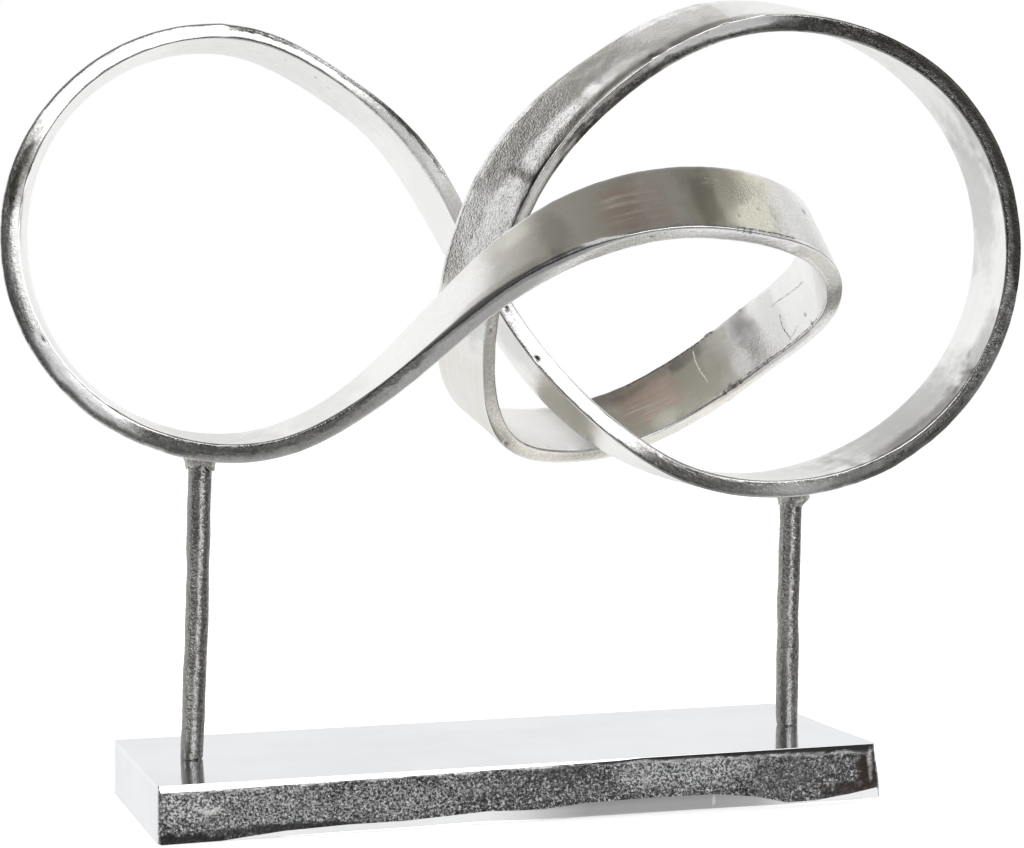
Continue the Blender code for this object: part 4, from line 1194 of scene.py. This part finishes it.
blockShape = dict(
    length=0.3600, depth=0.1300, low=0.0015, high=0.0285, cornerRound=0.0022, step=0.00110,
    rim=0.0004, rimWidth=0.0034,  # the rim stands lower than the face that the felt lies under
    edgeRound=0.00015, footRound=0.0009, sideRows=26, arcRows=4,
    topInsets=(0.0006, 0.0014, 0.0026, 0.0045, 0.0075, 0.011, 0.015, 0.019, 0.023, 0.027, 0.031,
               0.035),
    # polished strip along the top edge, in front: x, height; it leans back by strip slope
    strip=(
        (-0.180, 0.0034), (-0.120, 0.0029), (-0.060, 0.0023), (0.000, 0.0015), (0.045, 0.0009),
        (0.058, 0.0002), (0.180, 0.0001),
    ),
    stripSlope=0.22, endStrip=0.0008,
    # smooth dark strip below it, on the right: x, height
    seam=(
        (-0.180, 0.0), (0.020, 0.0), (0.046, 0.0009), (0.090, 0.0015), (0.130, 0.0018),
        (0.165, 0.0026), (0.180, 0.0032),
    ),
    # hand-ground bevel along the front's lower edge: x, height, depth, and how much of
    # its upper part stands upright
    bevel=(
        (-0.180, 0.0004, 0.0006, 0.0), (-0.150, 0.0006, 0.0008, 0.0), (-0.140, 0.0016, 0.0022, 0.0),
        (-0.120, 0.0034, 0.0036, 0.0), (-0.090, 0.0044, 0.0040, 0.0), (-0.062, 0.0044, 0.0040, 0.0),
        (-0.020, 0.0064, 0.0044, 0.0), (-0.006, 0.0058, 0.0040, 0.2), (0.008, 0.0056, 0.0036, 0.5),
        (0.030, 0.0074, 0.0032, 0.8), (0.060, 0.0078, 0.0030, 0.8), (0.095, 0.0076, 0.0026, 0.8),
        (0.118, 0.0050, 0.0016, 0.7), (0.134, 0.0010, 0.0010, 0.3), (0.150, 0.0012, 0.0014, 0.0),
        (0.166, 0.0032, 0.0028, 0.0), (0.180, 0.0062, 0.0036, 0.0),
    ),
    # lighter places in the cast front: x, z, half width, half height, strength
    blooms=((-0.166, 0.0170, 0.016, 0.0070, 1.0), (-0.130, 0.0210, 0.030, 0.0040, 0.6),
            (-0.125, 0.0120, 0.034, 0.0090, 0.45), (-0.067, 0.0140, 0.036, 0.0090, 0.40),
            (0.062, 0.0190, 0.018, 0.0070, 0.8), (0.090, 0.0200, 0.030, 0.0080, 1.0),
            (0.132, 0.0170, 0.034, 0.0075, 0.10), (-0.030, 0.0190, 0.030, 0.0050, 0.25)),
    # painted highlights on the crescent at the left and the ridge in the right margin, and a light
    # scratch in the bevel
    ridges=((-0.1598, 0.0158, 0.0022, 0.0012, 2.0), (-0.1560, 0.0146, 0.0034, 0.0011, 2.0),
            (-0.1520, 0.0156, 0.0016, 0.0012, 2.0), (0.1785, 0.0215, 0.0011, 0.0050, 0.8),
            (0.1792, 0.0150, 0.0009, 0.0050, 0.6), (0.0955, 0.0052, 0.0006, 0.0028, 0.8)),
    # smooth dark spots, given as the blooms are
    shades=(
        (-0.170, 0.0020, 0.030, 0.0040, 1.0), (-0.120, 0.0050, 0.040, 0.0025, 0.9),
        (0.178, 0.0140, 0.0065, 0.0160, 1.0), (0.168, 0.0060, 0.016, 0.0040, 0.9),
        (0.020, 0.0240, 0.016, 0.0030, 0.5), (0.002, 0.0200, 0.030, 0.0080, 0.12),
        (0.128, 0.0150, 0.030, 0.0100, 0.22),
    ),
    # ragged light line under the seam
    peel=dict(
        start=0.044, end=0.177, rise=0.012, fall=0.010, drop=0.0012, sway=0.0006, half=0.00055,
    ),
    flare=(0.160, 0.0020, 0.0026),  # front right corner: from x, at the top, and more below
    crumble=0.00022, crumbs=((1, 0.0026, 91), (0.7, 0.0026 / 2.2, 92)),  # amount, size, seed
    sway=0.00022, swaySize=0.03,
    skinRim=((0.0007, 0.012, 94), (0.0005, 0.004, 95)),
    spotRim=((0.25, 0.006, 96), (0.15, 0.0022, 98)),
    holeRadius=0.0033, boreRadius=0.0070, boreDepth=0.0091,
    drillSides=48, drillPast=0.01,  # how far the cutters stand out of the block
)


def blockOutline(values):
    # rounded rectangle run counterclockwise: core corner point + round * direction
    length, depth, radius = values["length"] / 2, values["depth"] / 2, values["cornerRound"]
    corners = ((1, -1), (1, 1), (-1, 1), (-1, -1))
    points, outward = [], []
    for number, (sx, sy) in enumerate(corners):
        angle = np.radians(-90 + number * 90 + np.linspace(0, 90, 7))
        direction = np.stack((np.cos(angle), np.sin(angle)), axis=-1)
        centre = np.array((sx * (length - radius), sy * (depth - radius)))
        points.append(centre + direction * radius)
        outward.append(direction)
        after = np.array(corners[(number + 1) % 4]) * (length - radius, depth - radius)
        run = np.linalg.norm(after - centre)
        share = np.linspace(0, 1, round(run / values["step"]) + 1)[1:-1, None]
        points.append(centre * (1 - share) + after * share + direction[-1] * radius)
        outward.append(np.tile(direction[-1], (len(share), 1)))
    return np.concatenate(points), np.concatenate(outward)


def blockPiece(name, values):
    # rings of the outline, drawn in by an inset: out from the middle of the underside,
    # down to the rim, up over the bevel, the side and the strip to the middle of the top
    outline, outward = blockOutline(values)
    front = softStep(0.9, 0.99, -outward[:, 1])

    def along(key, column=1):
        table = np.array(values[key])
        return np.interp(outline[:, 0], table[:, 0], table[:, column])

    bevel = along("bevel", 1) * front + values["footRound"] * (1 - front)
    inset = along("bevel", 2) * front + values["footRound"] * (1 - front)
    upright = along("bevel", 3) * front
    strip = along("strip") * front + values["endStrip"] * (1 - front)
    low, high, rounding = values["low"], values["high"], values["edgeRound"]
    rim = values["rim"]
    stripInset = strip * values["stripSlope"]
    rows, kinds = [], []

    def addRow(insets, heights, kind):
        reach = np.minimum(np.broadcast_to(insets, front.shape), values["depth"] / 2 - 0.001)
        near = 0.9 * values["cornerRound"]
        shrink = outline - outward * np.minimum(reach, near)[:, None]
        deeper = np.maximum(reach - near, 0)[:, None]
        half = np.array((values["length"], values["depth"])) / 2 - near
        shrink = shrink * (half - deeper) / half
        rows.append(np.column_stack((shrink, np.broadcast_to(heights, front.shape))))
        kinds.append(np.full(front.shape, kind))

    # kinds of rows: 0 underside, 1 bevel, 2 side, 3 strip and rounded edge, 4 top
    feltRim = values["rimWidth"]
    for extra in (*reversed(values["topInsets"][2:]), 0.0):
        addRow(feltRim + 0.0004 + extra, low, 0)
    addRow(feltRim, rim, 0)
    for share in (1.0, 0.97, 0.8, 0.6, 0.4, 0.2, 0.03, 0.0):
        # height falls evenly and depth by a power, so that the upper part can stand upright
        depth = inset * share ** (1 + 5 * upright)
        addRow(np.minimum(depth, feltRim + 0.0012), rim + bevel * (1 - share), 1)
    sideLow, sideHigh = rim + bevel, high - rounding - strip
    for share in (0.004, *np.linspace(0, 1, values["sideRows"] + 2)[1:-1], 0.996):
        addRow(0.0, sideLow + (sideHigh - sideLow) * share, 2)
    for share in (0.0, 0.04, 0.5, 1.0):
        addRow(stripInset * share, sideHigh + strip * share, 3)
    for angle in np.radians(np.linspace(0, 90, values["arcRows"]))[1:]:
        inward, under = rounding * (1 - math.cos(angle)), rounding * (1 - math.sin(angle))
        addRow(stripInset + inward, high - under, 3)
    for extra in values["topInsets"]:
        addRow(stripInset + rounding + extra, high, 4)
    rings, kind = np.stack(rows), np.stack(kinds)

    # the sides are rough as they left the sand, but for the ends, the seam and the margins
    end = softStep(0.6, 0.9, np.abs(outward[:, 0]))
    onSide = (kind == 2).astype(float)
    below = sideHigh - rings[..., 2]
    seam = along("seam") * front
    skin = below - seam + layered(rings, values["skinRim"]) - 0.0004 * (seam > 0)
    skin = onSide * softStep(0.0, 0.0010, skin) * (1 - 0.92 * end)
    margin = softStep(0.0, 0.0016, np.minimum(below - seam, rings[..., 2] - sideLow))
    crumbled = values["crumble"] * skin * (layered(rings, values["crumbs"]) - 1.4)
    swayed = values["sway"] * onSide * (ripples(rings, values["swaySize"], 93) - 1)
    rings[..., :2] += outward * np.minimum((crumbled + swayed) * margin, 0)[..., None]
    # the front right corner spreads
    start, atTop, more = values["flare"]
    spread = softStep(start, values["length"] / 2, rings[..., 0])
    spread = spread * softStep(0.0, -values["depth"] / 2, rings[..., 1])
    rings[..., 0] += spread * (atTop + more * softStep(high, 0.006, rings[..., 2]))
    ragged = layered(rings, values["spotRim"])

    def spots(key):
        # the strongest of soft ovals with ragged rims
        cover = np.zeros(kind.shape)
        for x, z, wide, tall, strength in values[key]:
            away = np.hypot((rings[..., 0] - x) / wide, (rings[..., 2] - z) / tall) + ragged
            cover = np.maximum(cover, strength * (1 - softStep(0.6, 1.2, away)))
        return cover * front

    peel = values["peel"]
    line = below - seam - peel["drop"] - peel["sway"] * ripples(rings, 0.011, 97)
    stretch = window(rings[..., 0], peel["start"], peel["end"], peel["rise"], peel["fall"])
    broken = softStep(-0.6, 0.3, ripples(rings, 0.007, 99))
    peeling = hump(line, peel["half"]) * stretch * broken * onSide * front
    masks = dict(
        ridge=np.maximum(spots("ridges"), peeling),
        bloom=spots("blooms") * onSide, shade=spots("shades") * onSide,
        skin=skin, smooth=onSide * (1 - skin) * (seam > 0.0001) * front,
        ground=(kind == 1) * front, lens=(kind == 1) * upright, top=(kind == 4) * 1.0,
    )
    return gridMesh(name, rings, masks=masks, poles=False, lids=True)


def drillBlock(block, values):
    # the counterbored screw holes from below: two short cylinders for each rod
    turn = np.linspace(0, 2 * math.pi, values["drillSides"], endpoint=False)
    start = values["low"] - values["drillPast"]
    sizes = ((values["holeRadius"], values["high"] + values["drillPast"]),
             (values["boreRadius"], values["low"] + values["boreDepth"]))
    for word in ("left", "right"):
        foot = rodShape[word]["foot"]
        for radius, end in sizes:
            ring = np.stack((foot + radius * np.cos(turn), radius * np.sin(turn)), axis=-1)
            rows = [np.insert(ring, 2, height, axis=1) for height in (start, end)]
            cutter = gridMesh(word + "Drill", np.stack(rows))
            modifier = block.modifiers.new("drill", "BOOLEAN")
            modifier.operation = "DIFFERENCE"
            modifier.object = cutter
            evaluated = block.evaluated_get(bpy.context.evaluated_depsgraph_get())
            drilled = bpy.data.meshes.new_from_object(evaluated)
            block.modifiers.remove(modifier)
            block.data = drilled
            bpy.data.objects.remove(cutter)
    block.data.name = block.name
    block.data.set_sharp_from_angle(angle=math.radians(60))


blockFinish = dict(
    grainScale=760.0, cloudScale=16.0, patchScale=40.0, scratchScale=900.0, scratchStretch=0.12,
    metal=(grey(0.84, -0.008), grey(0.90, -0.006)), top=(grey(0.73, -0.012), grey(0.80, -0.008)),
    skinDark=(grey(0.03, 0.02), grey(0.08, 0.01)), skinLight=(grey(0.10), grey(0.31)),
    # fleck is the white of the painted glints in the skin, which are made matt
    bloom=grey(0.45, -0.10), bloomShare=0.20, fleck=grey(1.0), paintedGlintMatt=0.75,
    # shades on the left and right, and between which x they change
    shades=(grey(0.026, 0.02), (0.044, 0.031, 0.025, 1.0)), shadeChange=(0.13, 0.17),
    shadeShare=0.9,
    smooth=grey(0.03, 0.08), smoothShare=0.95, lens=grey(0.33), lensShare=1.2,
    # ridge is the white of the painted highlights on the bright marks
    ridge=grey(0.95, 0.02), ridgeMatt=0.7, glint=(0.955, 0.965, 0.975, 1.0),
    polish=(0.07, 0.12), skinRoughness=(0.45, 0.28), bevelRoughness=0.26,
    skinHeight=0.00085, plainHeight=0.000003, scratchHeight=0.00002,
)


def blockMetal(name, values):
    # polished top, sand-cast front with bright flecks, satin bevel, smooth ends
    material, tree, shader, place, path = startMaterial(name)
    skin, smooth, ground, lens, top, bloom, shade, ridge = attributes(
        tree, "skin", "smooth", "ground", "lens", "top", "bloom", "shade", "ridge")
    grain = useGroup(tree, castGrain, {"Vector": place, "Scale": values["grainScale"]})
    cloud = useGroup(tree, clouds, {"Vector": place, "Scale": values["cloudScale"]})
    patches = useGroup(tree, clouds, {"Vector": place, "Scale": values["patchScale"]})
    stretch = (values["scratchStretch"], 1.0, 1.0)
    stretched = addNode(tree, "Mapping", {"Vector": place, "Scale": stretch}).outputs[0]
    scratches = noise(tree, stretched, values["scratchScale"], 3.0)[0]
    sideways = addNode(tree, "SeparateXYZ", {0: place}).outputs[0]

    # painted glints: bright matt flecks in the skin, more of them in the blooms, hardly any in the
    # shades
    fleck = times(tree, remap(tree, grain["Fleck"], 0.25, 0.75, smooth=True),
                  remap(tree, patches["Small"], 0, 1, 0.6, 1.0))
    more = times(tree, remap(tree, grain["Tone"], 0.45, 0.85, smooth=True), bloom, 0.8)
    fleck = times(tree, larger(tree, fleck, more), remap(tree, shade, 0, 1, 1.0, 0.05))
    # painted highlights of the bright marks, and the light peel line, white and matt
    lit = times(tree, ridge, remap(tree, grain["Tone"], 0, 1, 0.35, 1.0))
    skinTone = stacked(
        tree, blendColour, blendColour(tree, patches["Broad"], *values["skinDark"]),
        (grain["Tone"], blendColour(tree, patches["Small"], *values["skinLight"])),
        (times(tree, bloom, values["bloomShare"]), values["bloom"]), (fleck, values["fleck"]),
        (times(tree, shade, values["shadeShare"]),
         blendColour(tree, remap(tree, sideways, *values["shadeChange"]), *values["shades"])),
    )
    colour = stacked(
        tree, blendColour, blendColour(tree, cloud["Broad"], *values["metal"]),
        (top, blendColour(tree, cloud["Broad"], *values["top"])), (skin, skinTone),
        (times(tree, smooth, values["smoothShare"]), values["smooth"]),
        (times(tree, lens, values["lensShare"], clamp=True), values["lens"]),
        (lit, values["ridge"]),
    )
    matt = times(tree, fleck, skin, values["paintedGlintMatt"])
    matt = larger(tree, matt, times(tree, lit, values["ridgeMatt"]))
    polish = stacked(
        tree, blendValue, blendValue(tree, cloud["Small"], *values["polish"]),
        (skin, blendValue(tree, grain["Tone"], *values["skinRoughness"])),
        (ground, values["bevelRoughness"]),
    )
    # the grain lies flat in the shades
    rise = times(tree, skin, restOf(tree, times(tree, shade, 0.85)), values["skinHeight"])
    rise = arithmetic(tree, "ADD", rise, values["plainHeight"])
    grained = raised(tree, times(tree, grain["Height"], rise), 1.0)
    marks = times(tree, scratches, remap(tree, top, 0, 1, 1.0, 0.25))
    connect(tree, shader, {
        "Base Color": colour, "Metallic": restOf(tree, matt), "Roughness": polish,
        "Normal": raised(tree, marks, values["scratchHeight"], under=grained),
        "Specular Tint": values["glint"],
    })
    return material


block = blockPiece("castBlock", blockShape)
drillBlock(block, blockShape)
finishPiece(block, blockMetal("castBlockMetal", blockFinish), "base_block")
print("block made")


feltShape = dict(
    width=0.352, depth=0.122, low=0.0, high=0.0012, step=0.002,
    # rings from the middle of the underside to the middle of the top: how far in from
    # the rim, and share of the height
    profile=((0.05, 0.0), (0.02, 0.0), (0.001, 0.0), (0.0, 0.25), (0.0, 0.75), (0.001, 1.0),
             (0.02, 1.0), (0.05, 1.0)),
    fuzz=0.0002, fuzzSize=0.004, fuzzWidth=0.0012, fibreScale=2200.0, fibreHeight=0.0002,
    wool=((0.020, 0.020, 0.023, 1), (0.075, 0.075, 0.080, 1)), roughness=(0.85, 1.0), sheen=0.35,
)


def feltPiece(name, values):
    # thin sheet: rings of a rectangle drawn in to the middle, underside then top
    half, profile = np.array((values["width"], values["depth"])) / 2, values["profile"]
    counts = [round(2 * size / values["step"]) for size in half]
    along, up = (np.linspace(-1, 1, count, endpoint=False) for count in counts)
    ones = np.ones_like
    sides = ((along, -ones(along)), (ones(up), up), (-along, ones(along)), (-ones(up), -up))
    outline = np.concatenate([np.stack(pair, axis=-1) for pair in sides]) * half
    rows = []
    for inset, share in profile:
        flat = np.clip(outline, -(half - inset), half - inset)
        level = np.full(len(flat), values["low"] + (values["high"] - values["low"]) * share)
        rows.append(np.column_stack((flat, level)))
    rings = np.stack(rows)
    atRim = np.array([inset <= values["fuzzWidth"] for inset, share in profile])[:, None]
    fuzz = atRim * values["fuzz"] * (ripples(rings, values["fuzzSize"], 97) - 1)
    nearRim = np.abs(rings[..., :2]) > half - values["fuzzWidth"]
    rings[..., :2] += np.sign(rings[..., :2]) * fuzz[..., None] * nearRim
    return gridMesh(name, rings)


def feltCloth(name, values):
    # short wool fibres: fine noise in colour and height
    material, tree, shader, place, path = startMaterial(name, 0.0)
    fibres = noise(tree, place, values["fibreScale"], 4.0, 0.7, 1.2)[0]
    connect(tree, shader, {
        "Base Color": blendColour(tree, fibres, *values["wool"]),
        "Roughness": remap(tree, fibres, 0, 1, *values["roughness"]),
        "Normal": raised(tree, fibres, values["fibreHeight"]), "Sheen Weight": values["sheen"],
    })
    return material


felt = feltPiece("feltSheet", feltShape)
finishPiece(felt, feltCloth("feltCloth", feltShape), "felt_sheet")
print("felt made")


# The screws and washers are the plain solids in zinc plated steel.
steelFinish = dict(
    cloudScale=260.0, zinc=((0.52, 0.53, 0.56, 1), (0.68, 0.68, 0.66, 1)), roughness=(0.22, 0.42),
    turningHeight=0.00002, turningScales=dict(screw=700.0, washer=300.0),
)


def zincSteel(name, turningScale, values):
    # turning marks as fine bands across the axis
    material, tree, shader, place, path = startMaterial(name)
    cloud = useGroup(tree, clouds, {"Vector": place, "Scale": values["cloudScale"]})
    turning = addNode(tree, "TexWave", {"Vector": place, "Scale": turningScale, "Distortion": 2.0},
                      wave_type="BANDS", bands_direction="Z")
    connect(tree, shader, {
        "Base Color": blendColour(tree, cloud["Broad"], *values["zinc"]),
        "Roughness": remap(tree, cloud["Small"], 0, 1, *values["roughness"]),
        "Normal": raised(tree, turning.outputs["Fac"], values["turningHeight"]),
    })
    return material


for kind, turningScale in steelFinish["turningScales"].items():
    material = zincSteel(kind + "Steel", turningScale, steelFinish)
    for word in ("left", "right"):
        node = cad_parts[word + "_" + kind]
        node.data.materials.clear()
        node.data.materials.append(material)
print("screws and washers finished")


studio = dict(
    room=0.30, warmth=0.05,
    # soft-edged fields of the surroundings, later ones over earlier: azimuth from +Y
    # towards +X, elevation, half angle and soft rim in degrees, and brightness
    fields=(
        (180, 10, 55, 20, 0.12),  # in front
        (-45, 0, 40, 20, 1.0), (0, 0, 38, 22, 1.0), (55, 10, 40, 18, 1.0),  # behind
        (-120, 0, 22, 11, 0.13), (108, -2, 7, 6, 0.13),  # shade on the left and right
        (176, -8, 22, 9, 0.05),  # beside the camera
        (136, 7, 12, 5, 1.4), (129, -5, 8, 6, 1.2),  # card on the right, and its foot
        (150, 18, 9, 5, 2.0), (167, 20, 10, 5, 2.0), (182, 25, 8, 5, 2.0),  # softboxes
    ),
    floorColour=0.85, floorLift=0.62, floorSize=3.0,
    # the floor as metal sees it: white by the block, grey in front, dark beyond
    floorNear=(-0.17, -0.075), floorMiddle=0.42, floorFar=(-0.85, -0.45), floorDark=0.07,
    floorSide=(0.30, 0.80), floorSideLevel=0.55, floorBack=(0.0, 0.6),
    lampEnergy=14.0, lampSize=0.9, lampPlace=(-0.5, 0.2, 1.6),
)


def studioWorld(values):
    # the camera sees plain white; everything else sees the fields
    world = bpy.data.worlds.new("studio")
    world.use_nodes = True
    scene.world = world
    tree = world.node_tree
    direction = addNode(tree, "TexCoord").outputs["Generated"]
    colour = grey(values["room"], values["warmth"])
    for *angles, level in values["fields"]:
        azimuth, elevation, half, rim = np.radians(angles)
        axis = (math.sin(azimuth) * math.cos(elevation), math.cos(azimuth) * math.cos(elevation),
                math.sin(elevation))
        facing = addNode(tree, "VectorMath", {0: direction, 1: axis}, operation="DOT_PRODUCT")
        facing = facing.outputs["Value"]
        share = remap(tree, facing, math.cos(half + rim), math.cos(half), smooth=True)
        colour = blendColour(tree, share, colour, grey(level))
    seen = addNode(tree, "LightPath").outputs["Is Camera Ray"]
    colour = blendColour(tree, seen, colour, grey(1.0))
    connect(tree, tree.nodes["Background"], {"Color": colour, "Strength": 1.0})


def studioFloor(values):
    # pale floor, lifted to white for the camera, with its own tones for metal
    size = values["floorSize"]
    mesh = bpy.data.meshes.new("floor")
    corners = [(x * size, y * size, 0) for x, y in ((-1, -1), (1, -1), (1, 1), (-1, 1))]
    mesh.from_pydata(corners, [], [(0, 1, 2, 3)])
    floor = bpy.data.objects.new("floor", mesh)
    scene.collection.objects.link(floor)
    material, tree, shader, place, path = startMaterial("floorPaper", 0.0)
    sideways, depthwise = addNode(tree, "SeparateXYZ", {0: place}).outputs[:2]
    rays = addNode(tree, "LightPath").outputs
    near = remap(tree, depthwise, *values["floorNear"], values["floorMiddle"], 1.0, smooth=True)
    far = remap(tree, depthwise, *values["floorFar"], values["floorDark"], 1.0, smooth=True)
    side = remap(tree, sideways, *values["floorSide"], 1.0, values["floorSideLevel"], smooth=True)
    side = larger(tree, side, remap(tree, depthwise, *values["floorBack"], smooth=True))
    glossy = times(tree, rays["Is Glossy Ray"], near, far, side)
    lift = times(tree, rays["Is Camera Ray"], values["floorLift"])
    paper = blendColour(tree, rays["Is Glossy Ray"], grey(values["floorColour"]), grey(0.0))
    connect(tree, shader, {
        "Base Color": paper, "Roughness": 0.9, "Specular IOR Level": 0.0,
        "Emission Color": (1, 1, 1, 1), "Emission Strength": arithmetic(tree, "ADD", glossy, lift),
    })
    mesh.materials.append(material)


def studioLamp(values):
    # one square lamp above, turned to the sculpture
    data = bpy.data.lights.new("overheadLamp", "AREA")
    data.energy = values["lampEnergy"]
    data.size = values["lampSize"]
    lamp = bpy.data.objects.new("overheadLamp", data)
    lamp.visible_glossy = False
    lamp.location = values["lampPlace"]
    scene.collection.objects.link(lamp)
    aim = np.array(viewpoint["target"]) - np.array(values["lampPlace"])
    tilt = math.atan2(math.hypot(aim[0], aim[1]), -aim[2])
    lamp.rotation_euler = (tilt, 0, math.atan2(aim[0], -aim[1]) + math.pi)


studioWorld(studio)
studioFloor(studio)
studioLamp(studio)
print("studio set")
